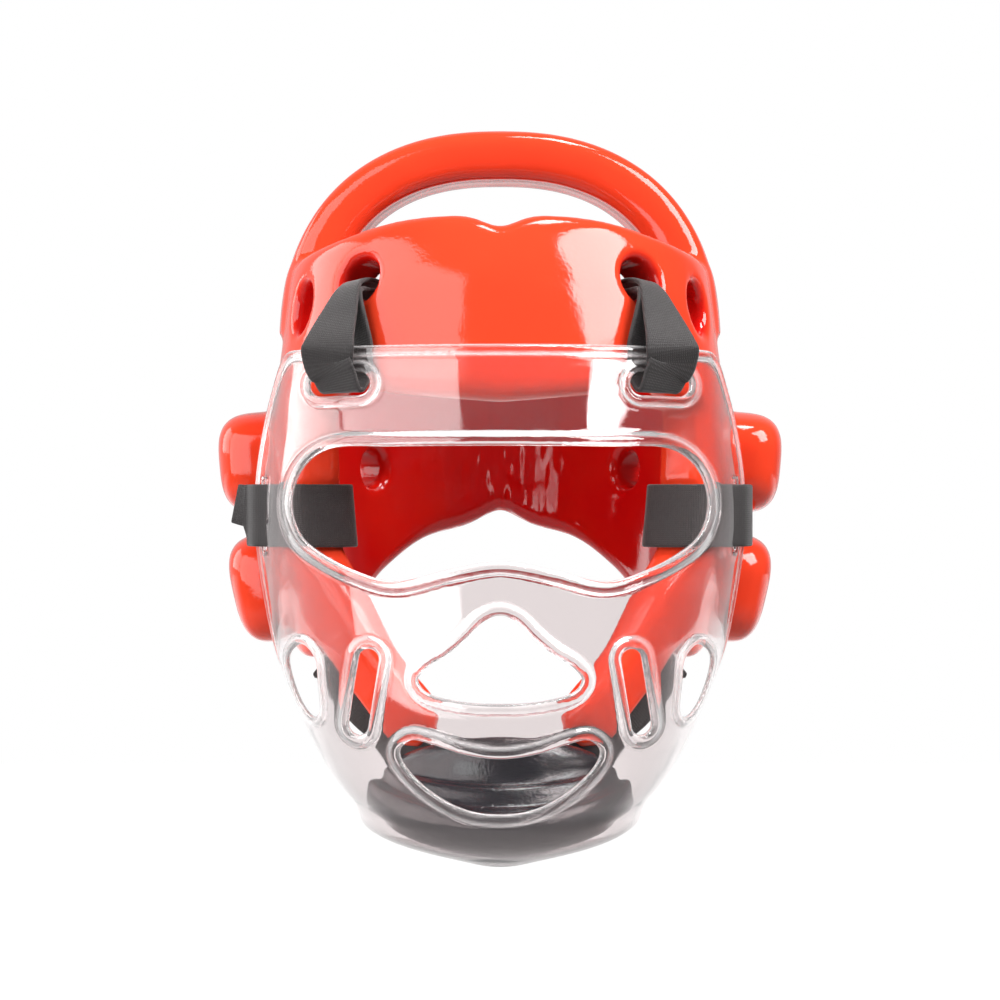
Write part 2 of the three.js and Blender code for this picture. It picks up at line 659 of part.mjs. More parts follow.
// Top strap of the right side: from a tab on the inner face, out through the forehead's hole, down in front
// of the shield's top edge, back through the slot and up behind the shield to a second tab inside
function topStrap() {
  const angle = radians(STRAP_HOLE.angle);
  const { out, up } = headFrame(angle, STRAP_HOLE.z);
  const round = vector(0, 0, 0).crossVectors(up, out);
  const inHole = (through, rise) =>
    headPoint(angle, STRAP_HOLE.z).addScaledVector(out, through).addScaledVector(up, rise);
  const top = SHIELD_SECTIONS[0].z;
  const level = vector(...shieldNormal(TOP_SLOT.x, TOP_SLOT.z)).setZ(0).normalize();
  const flat = vector(-level.y, level.x, 0);
  const narrow = TOP_STRAP_WIDTH_IN_HOLE;
  const full = TOP_STRAP_WIDTH;
  const behind = -SHIELD_WALL;
  return ribbon(
    [
      { at: inHole(-12.4, 19), wide: round, width: 17 },
      { at: inHole(-12.2, 11), wide: round, width: narrow + 1 },
      { at: inHole(-11.2, 5), wide: round, width: narrow },
      { at: inHole(-3, 2.8), wide: round, width: narrow },
      { at: inHole(6, 2.8), wide: round, width: narrow },
      { at: inHole(12.5, -0.5), wide: round, width: narrow },
      { at: offShield(60, top, 8.6).setZ(top + 6), wide: flat, width: full - 2 },
      { at: offShield(61.5, top - 5, 6), wide: flat, width: full },
      { at: offShield(TOP_SLOT.x, TOP_SLOT.z + 3, 3.2), wide: flat, width: full },
      { at: offShield(TOP_SLOT.x, TOP_SLOT.z - 2.4, behind / 2), wide: flat, width: full },
      { at: offShield(TOP_SLOT.x, TOP_SLOT.z + 3, behind - 3.2), wide: flat, width: full },
      { at: offShield(60, top - 3, behind - 4), wide: flat, width: full - 2 },
      { at: inHole(13, -6), wide: round, width: narrow + 2 },
      { at: inHole(6, -2.8), wide: round, width: narrow },
      { at: inHole(-3, -2.8), wide: round, width: narrow },
      { at: inHole(-11.2, -5), wide: round, width: narrow },
      { at: inHole(-12.2, -11), wide: round, width: narrow + 1 },
      { at: inHole(-12.7, -19), wide: round, width: 17 },
    ],
    3,
  );
}

// The step of the cheek arm's table at which its front edge passes a height
function armStepAt(z) {
  let low = 0;
  let high = CHEEK_ARM.length - 1;
  for (let i = 0; i < 30; i += 1) {
    const middle = (low + high) / 2;
    if (armEdge(middle, 1).centre.z > z) low = middle;
    else high = middle;
  }
  return low;
}

// Side strap of the right side: from the arm's inner face round its front edge, out through the slot in the
// shield's side and round the shield's rim; a loose end stands off the rim instead of going round it
function sideStrap(looseEnd) {
  const clear = 1.9; // from the foam to the middle of the webbing
  const z = RIM_SLOT.z;
  const width = 2 * SIDE_STRAP_HALF_HEIGHT;
  const upright = vector(0, 0, 1);
  const slant = vector(-0.23, 0, 1).normalize();
  // A row between the same place on the strap's upper and lower border
  const between = (placeAt) => {
    const upper = placeAt(z + SIDE_STRAP_HALF_HEIGHT);
    const lower = placeAt(z - SIDE_STRAP_HALF_HEIGHT);
    const wide = upper.clone().sub(lower).normalize().lerp(upright, 0.5).normalize();
    return { at: upper.clone().lerp(lower, 0.5).setZ(z), wide, width };
  };
  const inner = (degrees) =>
    between((level) =>
      headPoint(radians(degrees), level).addScaledVector(headFrame(radians(degrees), level).out, -RAISED_HALF - clear),
    );
  const round = (degrees) =>
    between((level) => {
      const edge = armEdge(armStepAt(level - 10), 1); // the arm's edge leans back from its lower end
      const aside = RAISED_HALF + clear + 0.9;
      const ahead = RAISED_HALF + clear + 3.4;
      return edge.centre
        .addScaledVector(edge.out, aside * signedPower(Math.sin(radians(degrees)), EDGE_FULLNESS))
        .addScaledVector(edge.past, ahead * Math.cos(radians(degrees)) ** EDGE_FULLNESS);
    });
  const wall = (y, height) => {
    let x = SHIELD_SECTIONS[3].halfWidth;
    while (shieldDepth(x, z) > y) x -= 0.05;
    return { at: offShield(x, z, height), wide: upright, width };
  };
  const rim = shieldSize(z, "rim");
  const wide = shieldSize(z, "halfWidth");
  const ending = looseEnd
    ? [
        { at: vector(wide + 2.7, rim - 3, z), wide: upright, width },
        { at: vector(wide + 4.4, rim - 1.6, z), wide: upright, width: width - 8, shift: 4 },
        { at: vector(wide + 9, rim + 1, z + 0.8), wide: slant, width: width - 9, shift: 4 },
      ]
    : [
        { at: vector(wide + 2.4, rim - 1, z), wide: upright, width },
        { at: vector(wide + 0.6, rim + 3, z), wide: upright, width },
        { at: vector(wide - 3.6, rim + 2.6, z), wide: upright, width },
      ];
  return ribbon(
    [
      inner(78),
      inner(72),
      inner(66),
      round(-85),
      round(-62),
      round(-42),
      round(0),
      round(46),
      wall(RIM_SLOT.y - 6, -SHIELD_WALL - 3.2),
      wall(RIM_SLOT.y + 0.6, -SHIELD_WALL / 2),
      wall(RIM_SLOT.y + 5, 2),
      ...ending,
    ],
    3,
  );
}

// Chin strap: one whole band from behind one cheek arm, along its lower edge, through the chin cup's hollow
// and up to the other side
function chinStrap() {
  const width = CHIN_STRAP_WIDTH;
  const upright = (step) => armEdge(step, -1).centre.setY(0);
  // Behind the arm's lower edge, facing the front: past the edge by shown, and behind it by back
  const behind = (step, shown, back) => {
    const edge = armEdge(step, -1);
    const way = upright(step + 0.1).sub(upright(step - 0.1)).normalize();
    const wide = vector(-way.z, 0, way.x);
    const at = edge.centre.addScaledVector(edge.past, edge.half).addScaledVector(wide, shown - width / 2);
    return { at: at.setY(at.y + back), wide, width };
  };
  const inCup = (degrees, z) => {
    const turn = radians(degrees);
    const round = vector(Math.sin(turn), -Math.cos(turn), 0);
    return {
      at: vector(29.5 * Math.sin(turn), CUP_CENTRE_Y - 16 * Math.cos(turn), z),
      wide: round.multiplyScalar(-0.15).setZ(-1),
      width: CUP_STRAP_WIDTH,
    };
  };
  const half = [
    behind(4.35, 11, 7.6),
    behind(4.65, 11, 7.6),
    behind(4.95, 11, 7.6),
    behind(5.25, 10, 7.6),
    behind(5.5, 9, 7.6),
    { at: vector(38, -76, -231), wide: vector(0.6, -0.1, -0.75), width: width - 1 },
    { at: vector(28, -87, -239.4), wide: vector(0.1, -0.05, -1), width: CUP_STRAP_WIDTH },
    inCup(50, -241.2),
    inCup(24, -242.4),
  ];
  const flip = (row) => ({
    at: row.at.clone().setX(-row.at.x),
    wide: row.wide.clone().setX(-row.wide.x),
    width: row.width,
  });
  return ribbon([...half, inCup(0, -243), ...half.map(flip).reverse()], 3);
}

const model = new THREE.Group();
model.add(namedMesh("headgear_shell", foamShell(), RED_FOAM));
model.add(namedMesh("face_shield", faceShield(), CLEAR_SHEET));
model.add(namedMesh("chin_cup", chinCup(), BLACK_FOAM));
model.add(namedMesh("chin_strap", chinStrap(), BLACK_WEBBING));
model.add(namedMesh("top_strap_right", topStrap(), BLACK_WEBBING));
model.add(namedMesh("top_strap_left", mirrored(topStrap()), BLACK_WEBBING));
model.add(namedMesh("side_strap_right", sideStrap(false), BLACK_WEBBING));
model.add(namedMesh("side_strap_left", mirrored(sideStrap(true)), BLACK_WEBBING));
export default model;
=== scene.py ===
"""Sparring headgear: a dipped-foam shell, a clear face shield, a chin cup and webbing straps.

Sizes are in millimetres in the part's frame: +Z is up, the face looks along -Y, and the origin is the crown
seat. The meshes are scaled to metres when they are made.
"""

import logging
import math
from dataclasses import dataclass, field
from enum import Enum

import bpy
import numpy as np
import openvdb
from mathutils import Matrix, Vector


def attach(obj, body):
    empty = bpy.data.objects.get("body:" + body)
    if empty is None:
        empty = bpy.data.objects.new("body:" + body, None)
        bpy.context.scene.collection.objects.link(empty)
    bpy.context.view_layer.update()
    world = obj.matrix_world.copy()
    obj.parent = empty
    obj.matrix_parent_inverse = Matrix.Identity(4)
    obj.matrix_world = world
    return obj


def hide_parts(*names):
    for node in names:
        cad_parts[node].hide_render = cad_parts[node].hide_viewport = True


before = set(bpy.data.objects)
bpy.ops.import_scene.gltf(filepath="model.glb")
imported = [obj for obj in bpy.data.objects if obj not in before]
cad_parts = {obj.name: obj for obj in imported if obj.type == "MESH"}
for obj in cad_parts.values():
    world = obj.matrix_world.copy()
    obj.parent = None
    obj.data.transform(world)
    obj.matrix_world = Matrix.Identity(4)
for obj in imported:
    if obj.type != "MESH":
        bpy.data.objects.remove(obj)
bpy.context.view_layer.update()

LOG = logging.getLogger("headgear")
METRES = 0.001
EDGE_STEPS = 17
WAVE_BANDS = 20.0 / (2.0 * math.pi)
WHITE = (1.0, 1.0, 1.0, 1.0)


def signed_power(value: np.ndarray, power: float) -> np.ndarray:
    """The sign of a value times its size raised to a power."""
    return np.sign(value) * np.abs(value) ** power


def unit(vectors: np.ndarray) -> np.ndarray:
    """Vectors divided by their length."""
    return vectors / np.linalg.norm(vectors, axis=-1, keepdims=True)


def stacked(*parts: np.ndarray) -> np.ndarray:
    """Coordinates of one shape stacked as the last axis of points."""
    return np.stack(np.broadcast_arrays(*parts), axis=-1)


def smooth_step(low: float, high: float, value: np.ndarray) -> np.ndarray:
    """0 below low and 1 above high, with the cubic 3t^2 - 2t^3 between them."""
    t = np.clip((value - low) / (high - low), 0.0, 1.0)
    return t * t * (3.0 - 2.0 * t)


def smooth_union(first: np.ndarray, second: np.ndarray, blend: float) -> np.ndarray:
    """The lower of two distances, lowered by (blend - gap)^2 / (4 blend) where they are closer than blend.

    Args:
        first: Signed distances to one solid.
        second: Signed distances to another solid.
        blend: Size of the fillet where the two solids meet.

    Returns:
        Signed distances to the solids joined by the fillet.
    """
    near = np.maximum(blend - np.abs(first - second), 0.0)
    return np.minimum(first, second) - near * near / (4.0 * blend)


def smooth_cut(solid: np.ndarray, cutter: np.ndarray, blend: float) -> np.ndarray:
    """A solid less a cutter, with the new edge rounded: the negative union of the space round the solid."""
    return -smooth_union(-solid, cutter, blend)


@dataclass(frozen=True)
class Table:
    """Rows of named columns, read as smooth curves of the first column."""

    names: tuple[str, ...]
    rows: tuple[tuple[float, ...], ...]

    @property
    def first(self) -> float:
        """Where the rows begin, in the first column."""
        return self.rows[0][0]

    @property
    def last(self) -> float:
        """Where the rows end, in the first column."""
        return self.rows[-1][0]

    def read(self, place: np.ndarray, name: str) -> np.ndarray:
        """A smooth cubic through every row, with slopes weighted by the gaps beside each row.

        Args:
            place: Values of the first column.
            name: The column to read.

        Returns:
            The column's value at each place, held at the ends.
        """
        data = np.array(self.rows, float)
        data = data[np.argsort(data[:, 0])]
        by = data[:, 0]
        value = data[:, self.names.index(name)]
        gap = np.diff(by)
        rate = np.diff(value) / gap
        inner = (rate[:-1] * gap[1:] + rate[1:] * gap[:-1]) / (gap[:-1] + gap[1:])
        slope = np.concatenate([rate[:1], inner, rate[-1:]])
        held = np.clip(place, by[0], by[-1])
        i = np.clip(np.searchsorted(by, held, side="right") - 1, 0, len(gap) - 1)
        t = (held - by[i]) / gap[i]
        ease = t * t * (3.0 - 2.0 * t)
        bend = slope[i] * (t**3 - 2.0 * t**2 + t) + slope[i + 1] * (t**3 - t**2)
        return value[i] + (value[i + 1] - value[i]) * ease + gap[i] * bend


def smooth_path(points: np.ndarray, per_gap: int, closed: bool = False) -> np.ndarray:
    """A smooth curve through points: each gap's cubic has knots spaced by the root of the points' distance.

    Args:
        points: The points that the curve passes, in order.
        per_gap: Steps between two points.
        closed: Whether the curve returns to its first point.

    Returns:
        The points of the curve; a closed curve doesn't repeat its first point.
    """
    if closed:
        around = np.concatenate([points[-1:], points, points[:2]])
    else:
        before = 2.0 * points[:1] - points[1:2]
        after = 2.0 * points[-1:] - points[-2:-1]
        around = np.concatenate([before, points, after])
    p0, p1, p2, p3 = around[:-3], around[1:-2], around[2:-1], around[3:]
    step = [np.sqrt(np.linalg.norm(b - a, axis=-1))[:, None] for a, b in ((p0, p1), (p1, p2), (p2, p3))]
    step = [np.maximum(s, 1e-3) for s in step]
    out = step[1] * ((p1 - p0) / step[0] - (p2 - p0) / (step[0] + step[1]) + (p2 - p1) / step[1])
    back = step[1] * ((p2 - p1) / step[1] - (p3 - p1) / (step[1] + step[2]) + (p3 - p2) / step[2])
    t = (np.arange(per_gap) / per_gap)[None, :, None]
    p1, p2, out, back = (part[:, None, :] for part in (p1, p2, out, back))
    cubic = p1 + out * t + (3.0 * (p2 - p1) - 2.0 * out - back) * t**2 + (2.0 * (p1 - p2) + out + back) * t**3
    curve = cubic.reshape(-1, points.shape[-1])
    return curve if closed else np.concatenate([curve, points[-1:]])


@dataclass
class Skin:
    """A closed surface: its points, four-cornered faces, three-cornered faces of its caps, and marks.

    Marks are named values of the points, from 0 to 1, that a material reads.
    """

    points: np.ndarray
    quads: np.ndarray
    triangles: np.ndarray = field(default_factory=lambda: np.zeros((0, 3), int))
    uv: np.ndarray | None = None
    marks: dict[str, np.ndarray] = field(default_factory=dict)

    @classmethod
    def from_rings(cls, rings: np.ndarray, closed: bool, uv: np.ndarray | None = None) -> "Skin":
        """A grid of rings joined in order, closed on itself or capped by fans at both ends.

        Args:
            rings: Points, as rings by points of a ring by three.
            closed: Whether the last ring joins the first.
            uv: A place on the material for each point of the grid, if it has one.

        Returns:
            The closed surface, with its faces outwards.
        """
        count, size = rings.shape[:2]
        r = np.arange(count if closed else count - 1)[:, None]
        k = np.arange(size)[None, :]
        after = (k + 1) % size
        ahead = (r + 1) % count
        corners = (r * size + k, ahead * size + k, ahead * size + after, r * size + after)
        quads = np.stack(corners, axis=-1).reshape(-1, 4)
        points = rings.reshape(-1, 3)
        places = None if uv is None else uv.reshape(-1, 2)
        triangles = np.zeros((0, 3), int)
        if not closed:
            one = np.arange(size)
            two = (one + 1) % size
            start = np.stack([np.full(size, len(points)), one, two], axis=-1)
            last = (count - 1) * size
            end = np.stack([np.full(size, len(points) + 1), last + two, last + one], axis=-1)
            triangles = np.concatenate([start, end])
            points = np.concatenate([points, rings[:1].mean(axis=1), rings[-1:].mean(axis=1)])
            if uv is not None:
                places = np.concatenate([places, uv[:1].mean(axis=1), uv[-1:].mean(axis=1)])
        return cls(points, quads, triangles, places).outward()

    def outward(self) -> "Skin":
        """The same surface, with its faces turned where the volume that they hold is negative.

        Returns:
            This surface.
        """
        a, b, c = (self.points[self.quads[:, i]] for i in range(3))
        d = self.points[self.quads[:, 3]]
        volume = np.einsum("ij,ij->", a, np.cross(b, c)) + np.einsum("ij,ij->", a, np.cross(c, d))
        if len(self.triangles):
            e, f, g = (self.points[self.triangles[:, i]] for i in range(3))
            volume += np.einsum("ij,ij->", e, np.cross(f, g))
        if volume < 0:
            self.quads = self.quads[:, ::-1]
            self.triangles = self.triangles[:, ::-1]
        return self

    def normals(self) -> np.ndarray:
        """Unit normals at the points: the sum of the normals of the four-cornered faces round each.

        Returns:
            A normal for each point.
        """
        corner = self.points[self.quads]
        across = np.cross(corner[:, 2] - corner[:, 0], corner[:, 3] - corner[:, 1])
        total = np.zeros_like(self.points)
        for axis in range(3):
            weights = np.repeat(across[:, axis], 4)
            total[:, axis] = np.bincount(self.quads.ravel(), weights, len(self.points))
        return total / np.maximum(np.linalg.norm(total, axis=1, keepdims=True), 1e-9)

    def relaxed(self, rounds: int, share: float = 0.5, swell: float = -0.52) -> "Skin":
        """Smoothing that keeps the volume: a point moves by a share to its neighbours' mean, then back.

        Args:
            rounds: Pairs of moves.
            share: Share of the way towards the neighbours' mean.
            swell: Share of the second move, negative, which keeps the volume.

        Returns:
            This surface, smoothed.
        """
        start = self.quads.ravel()
        end = np.roll(self.quads, -1, axis=1).ravel()
        one = np.concatenate([start, end])
        two = np.concatenate([end, start])
        count = np.bincount(one, minlength=len(self.points))[:, None]
        for part in (share, swell) * rounds:
            near = [np.bincount(one, self.points[two, axis], len(self.points)) for axis in range(3)]
            mean = np.stack(near, axis=1) / np.maximum(count, 1)
            self.points = self.points + part * (mean - self.points)
        return self

    def to_object(self, name: str, material: bpy.types.Material) -> bpy.types.Object:
        """Puts the surface into a new mesh object, in metres, with smooth shading.

        Args:
            name: The object's name.
            material: Its only material.

        Returns:
            The linked object.
        """
        mesh = bpy.data.meshes.new(name)
        loops = np.concatenate([self.quads.ravel(), self.triangles.ravel()])
        sizes = np.concatenate([np.full(len(self.quads), 4), np.full(len(self.triangles), 3)])
        starts = np.concatenate([[0], np.cumsum(sizes)[:-1]])
        mesh.vertices.add(len(self.points))
        mesh.vertices.foreach_set("co", (self.points * METRES).astype(np.float32).ravel())
        mesh.loops.add(len(loops))
        mesh.loops.foreach_set("vertex_index", loops.astype(np.int32))
        mesh.polygons.add(len(sizes))
        mesh.polygons.foreach_set("loop_start", starts.astype(np.int32))
        mesh.update(calc_edges=True)
        mesh.validate()
        if self.uv is not None:
            layer = mesh.uv_layers.new(name="cloth")
            layer.uv.foreach_set("vector", self.uv[loops].astype(np.float32).ravel())
        for key, values in self.marks.items():
            mark = mesh.attributes.new(key, "FLOAT", "POINT")
            mark.data.foreach_set("value", values.astype(np.float32))
        mesh.shade_smooth()
        mesh.materials.append(material)
        piece = bpy.data.objects.new(name, mesh)
        bpy.context.scene.collection.objects.link(piece)
        return piece


@dataclass(frozen=True)
class VoxelSpace:
    """A box of evenly spaced places where solids are held as signed distances."""

    low: tuple[float, float, float]
    high: tuple[float, float, float]
    pitch: float

    @property
    def shape(self) -> tuple[int, ...]:
        """Number of places along each axis."""
        size = (np.array(self.high) - np.array(self.low)) / self.pitch
        return tuple(int(n) for n in np.round(size) + 1)

    def axes(self) -> tuple[np.ndarray, np.ndarray, np.ndarray]:
        """The places' coordinates along each axis, ready to be combined by broadcasting."""
        x, y, z = (low + self.pitch * np.arange(n) for low, n in zip(self.low, self.shape))
        return x[:, None, None], y[None, :, None], z[None, None, :]

    def distance(self, skin: Skin, reach: float) -> np.ndarray:
        """Signed distances to a closed surface, held at plus and minus the reach.

        Args:
            skin: The closed surface.
            reach: Largest distance that is kept.

        Returns:
            A distance for each place, negative inside.
        """
        places = ((skin.points - np.array(self.low)) / self.pitch).astype(np.float32)
        level = openvdb.FloatGrid.createLevelSetFromPolygons(
            places,
            triangles=skin.triangles.astype(np.uint32),
            quads=np.ascontiguousarray(skin.quads.astype(np.uint32)),
            halfWidth=reach / self.pitch,
        )
        values = np.empty(self.shape, np.float32)
        level.copyToArray(values)
        return values * self.pitch

    def surface(self, distance: np.ndarray) -> Skin:
        """The surface where a field of signed distances is zero, as a mesh of four-cornered faces.

        Args:
            distance: A distance for each place.

        Returns:
            The surface, with its faces outwards.
        """
        held = np.clip(distance / self.pitch, -3.0, 3.0).astype(np.float32)
        level = openvdb.FloatGrid(3.0)
        level.copyFromArray(held)
        points, quads = level.convertToQuads(0.0)
        return Skin(np.array(self.low) + self.pitch * points.astype(float), quads.astype(int)).outward()


class Nodes:
    """A node tree, with short calls that add a node and join it to others."""

    def __init__(self, tree: bpy.types.NodeTree) -> None:
        """Takes up a tree.

        Args:
            tree: The node tree of a material or of the world.
        """
        self.tree = tree

    def add(self, kind: str, settings: dict | None = None, **inputs: object) -> bpy.types.Node:
        """Adds a node and fills its sockets.

        Args:
            kind: The node's type.
            settings: Properties of the node itself.
            inputs: Values or sockets by socket name, with underscores for spaces.

        Returns:
            The new node.
        """
        node = self.tree.nodes.new(kind)
        for key, value in (settings or {}).items():
            setattr(node, key, value)
        for key, value in inputs.items():
            self.put(node.inputs[key.replace("_", " ")], value)
        return node

    def put(self, socket: bpy.types.NodeSocket, value: object) -> None:
        """Joins a socket to another, or sets its value.

        Args:
            socket: The socket to fill.
            value: Another socket, or the value.
        """
        if isinstance(value, bpy.types.NodeSocket):
            self.tree.links.new(value, socket)
        else:
            socket.default_value = value

    def object_place(self) -> bpy.types.NodeSocket:
        """The place in the object's own frame, in metres."""
        return self.add("ShaderNodeTexCoord").outputs["Object"]

    def mark(self, name: str) -> bpy.types.NodeSocket:
        """A named value of the mesh's points."""
        return self.add("ShaderNodeAttribute", {"attribute_name": name}).outputs["Fac"]

    def scaled(self, place: bpy.types.NodeSocket, scale: tuple[float, float, float]) -> bpy.types.NodeSocket:
        """A place with each axis multiplied by its own scale."""
        return self.add("ShaderNodeMapping", Vector=place, Scale=scale).outputs["Vector"]

    def combined(self, operation: str, *values: object) -> bpy.types.NodeSocket:
        """Values or sockets put through one step of arithmetic.

        Args:
            operation: The step's name.
            values: What it is given, in order.

        Returns:
            The result.
        """
        node = self.add("ShaderNodeMath", {"operation": operation})
        for socket, value in zip(node.inputs, values):
            self.put(socket, value)
        return node.outputs[0]

    def times(self, first: bpy.types.NodeSocket, second: object) -> bpy.types.NodeSocket:
        """The product of two values."""
        return self.combined("MULTIPLY", first, second)

    def larger(self, first: bpy.types.NodeSocket, second: bpy.types.NodeSocket) -> bpy.types.NodeSocket:
        """The larger of two values."""
        return self.combined("MAXIMUM", first, second)

    def noise(self, place: bpy.types.NodeSocket, scale: float, detail: float = 3.0) -> bpy.types.NodeSocket:
        """Soft noise of about one over scale metres, from 0 to 1."""
        node = self.add("ShaderNodeTexNoise", Vector=place, Scale=scale, Detail=detail, Roughness=0.55)
        return node.outputs["Fac"]

    def spread(
        self,
        value: bpy.types.NodeSocket,
        given: tuple[float, float],
        wanted: tuple[float, float],
        easing: str = "LINEAR",
    ) -> bpy.types.NodeSocket:
        """A value of one range moved to another range and held at its ends.

        Args:
            value: The value.
            given: Low and high end of the value's range.
            wanted: What the two ends become.
            easing: How the value goes from one end to the other.

        Returns:
            The moved value.
        """
        node = self.add("ShaderNodeMapRange", {"interpolation_type": easing}, Value=value)
        names = ("From Min", "From Max", "To Min", "To Max")
        for name, limit in zip(names, (*given, *wanted)):
            node.inputs[name].default_value = limit
        return node.outputs["Result"]

    def ranged(self, value: bpy.types.NodeSocket, low: float, high: float) -> bpy.types.NodeSocket:
        """A value from about 0.3 to 0.7, such as noise, spread from low to high."""
        return self.spread(value, (0.3, 0.7), (low, high))

    def mixed(
        self, share: bpy.types.NodeSocket, first: tuple[float, ...], second: tuple[float, ...]
    ) -> bpy.types.NodeSocket:
        """Two colours mixed by a share.

        Args:
            share: Share of the second colour.
            first: One colour.
            second: The other colour.

        Returns:
            The mixed colour.
        """
        node = self.add("ShaderNodeMix", {"data_type": "RGBA"})
        self.put(node.inputs[0], share)
        self.put(node.inputs[6], (*first, 1.0))
        self.put(node.inputs[7], (*second, 1.0))
        return node.outputs[2]

    def bump(
        self, height: bpy.types.NodeSocket, distance: float, under: bpy.types.NodeSocket | None = None
    ) -> bpy.types.NodeSocket:
        """A normal bent by a height of 0 to 1 that stands for a distance in metres.

        Args:
            height: The height.
            distance: What a height of 1 stands for.
            under: A normal that is bent already, if there is one.

        Returns:
            The bent normal.
        """
        node = self.add("ShaderNodeBump", Height=height, Distance=distance, Strength=1.0)
        if under is not None:
            self.put(node.inputs["Normal"], under)
        return node.outputs["Normal"]


class MaterialNodes(Nodes):
    """The node tree of a new material."""

    def __init__(self, name: str) -> None:
        """Makes an empty material with an output node.

        Args:
            name: The material's name.
        """
        self.material = bpy.data.materials.new(name)
        self.material.use_nodes = True
        super().__init__(self.material.node_tree)
        self.tree.nodes.clear()
        self.output = self.tree.nodes.new("ShaderNodeOutputMaterial")

    def finish(self, shader: bpy.types.NodeSocket) -> bpy.types.Material:
        """Joins the last shader to the output."""
        self.put(self.output.inputs["Surface"], shader)
        return self.material


@dataclass(frozen=True)
class DippedFoam:
    """Vinyl over foam: glossy, with orange peel, slow ripples, wrinkles where it gathers, and painted shade
    inside.
    """

    name: str
    tone: tuple[float, float, float]
    # the darker tone: painted shade inside the back and in the holes' bores, and a little of it in random
    # patches
    shade_and_patch_tone: tuple[float, float, float]
    roughness: tuple[float, float] = (0.05, 0.1)
    peel: float = 0.00004
    ripple: float = 0.0006
    coat: float = 0.0
    shine: float = 0.42
    wrinkle: float = 0.0028
    wrinkle_scale: tuple[float, float, float] = (130.0, 130.0, 45.0)
    patch_scale: float = 18.0
    ripple_scale: float = 45.0
    gloss_scale: float = 60.0
    peel_scale: float = 700.0
    refraction: float = 1.5
    coat_roughness: float = 0.06

    def material(self) -> bpy.types.Material:
        """Builds the node material.

        Returns:
            The material.
        """
        nodes = MaterialNodes(self.name)
        place = nodes.object_place()
        patches = nodes.noise(place, self.patch_scale)
        # painted shade: the mark of the inside of the back and of the holes' bores darkens the tone there;
        # random patches add a little of the same darker tone everywhere
        depth = nodes.times(nodes.mark("inner_shade"), nodes.ranged(patches, 0.8, 1.0))
        depth = nodes.larger(depth, nodes.ranged(patches, 0.0, 0.12))
        tone = nodes.mixed(depth, self.tone, self.shade_and_patch_tone)
        folds = nodes.noise(nodes.scaled(place, self.wrinkle_scale), 1.0, 1.0)
        folded = nodes.bump(nodes.times(folds, nodes.mark("gather")), self.wrinkle)
        slow = nodes.bump(nodes.noise(place, self.ripple_scale, 1.0), self.ripple, folded)
        fine = nodes.bump(nodes.noise(place, self.peel_scale, 2.0), self.peel, slow)
        gloss = nodes.ranged(nodes.noise(place, self.gloss_scale), *self.roughness)
        shader = nodes.add("ShaderNodeBsdfPrincipled", Base_Color=tone, Normal=fine, Roughness=gloss)
        nodes.put(shader.inputs["IOR"], self.refraction)
        nodes.put(shader.inputs["Specular IOR Level"], self.shine)
        nodes.put(shader.inputs["Coat Weight"], self.coat)
        nodes.put(shader.inputs["Coat Roughness"], self.coat_roughness)
        return nodes.finish(shader.outputs["BSDF"])


@dataclass(frozen=True)
class ClearSheet:
    """Clear moulded plastic: faintly grey, with waves and scuffs, and painted highlight lines along its rims.

    It lets the lamps' light through.
    """

    name: str = "clear_sheet"
    tone: tuple[float, float, float] = (0.83, 0.75, 0.75)
    shade: tuple[float, float, float] = (0.88, 0.87, 0.87)
    clearness: float = 0.99
    refraction: float = 1.47
    coat: float = 0.55
    coat_roughness: float = 0.02
    # painted highlight along the rims: its share and its colour
    rim_highlight_share: float = 0.28
    rim_highlight_tone: tuple[float, float, float] = (0.9, 0.88, 0.88)
    wave: float = 0.0006
    wave_scale: float = 30.0
    scuff: tuple[float, float] = (0.02, 0.07)
    scuff_scale: float = 90.0

    def material(self) -> bpy.types.Material:
        """Builds the node material: a clear shader, swapped for a plain pass-through for shadow rays.

        Returns:
            The material.
        """
        nodes = MaterialNodes(self.name)
        place = nodes.object_place()
        wave = nodes.bump(nodes.noise(place, self.wave_scale, 1.0), self.wave)
        scuff = nodes.ranged(nodes.noise(place, self.scuff_scale, 4.0), *self.scuff)
        shader = nodes.add("ShaderNodeBsdfPrincipled", Normal=wave, Roughness=scuff)
        nodes.put(shader.inputs["Base Color"], (*self.tone, 1.0))
        nodes.put(shader.inputs["IOR"], self.refraction)
        nodes.put(shader.inputs["Transmission Weight"], self.clearness)
        nodes.put(shader.inputs["Coat Weight"], self.coat)
        nodes.put(shader.inputs["Coat Roughness"], self.coat_roughness)
        # painted highlight: a white diffuse shader, mixed in along the rims' borders by their mark, stands in
        # for the glints of the rolled rims
        painted_highlight = nodes.add("ShaderNodeBsdfDiffuse", Color=(*self.rim_highlight_tone, 1.0))
        rim = nodes.times(nodes.mark("painted_rim_highlight"), self.rim_highlight_share)
        sheet = self._mix(nodes, rim, shader.outputs["BSDF"], painted_highlight.outputs["BSDF"])
        passing = nodes.add("ShaderNodeBsdfTransparent", Color=(*self.shade, 1.0))
        shadow = nodes.add("ShaderNodeLightPath").outputs["Is Shadow Ray"]
        return nodes.finish(self._mix(nodes, shadow, sheet, passing.outputs["BSDF"]))

    @staticmethod
    def _mix(
        nodes: Nodes, share: bpy.types.NodeSocket, first: bpy.types.NodeSocket, second: bpy.types.NodeSocket
    ) -> bpy.types.NodeSocket:
        """Two shaders mixed by a share.

        Args:
            nodes: The tree that they are in.
            share: Share of the second shader.
            first: One shader.
            second: The other shader.

        Returns:
            The mixed shader.
        """
        node = nodes.add("ShaderNodeMixShader", Fac=share)
        nodes.put(node.inputs[1], first)
        nodes.put(node.inputs[2], second)
        return node.outputs["Shader"]


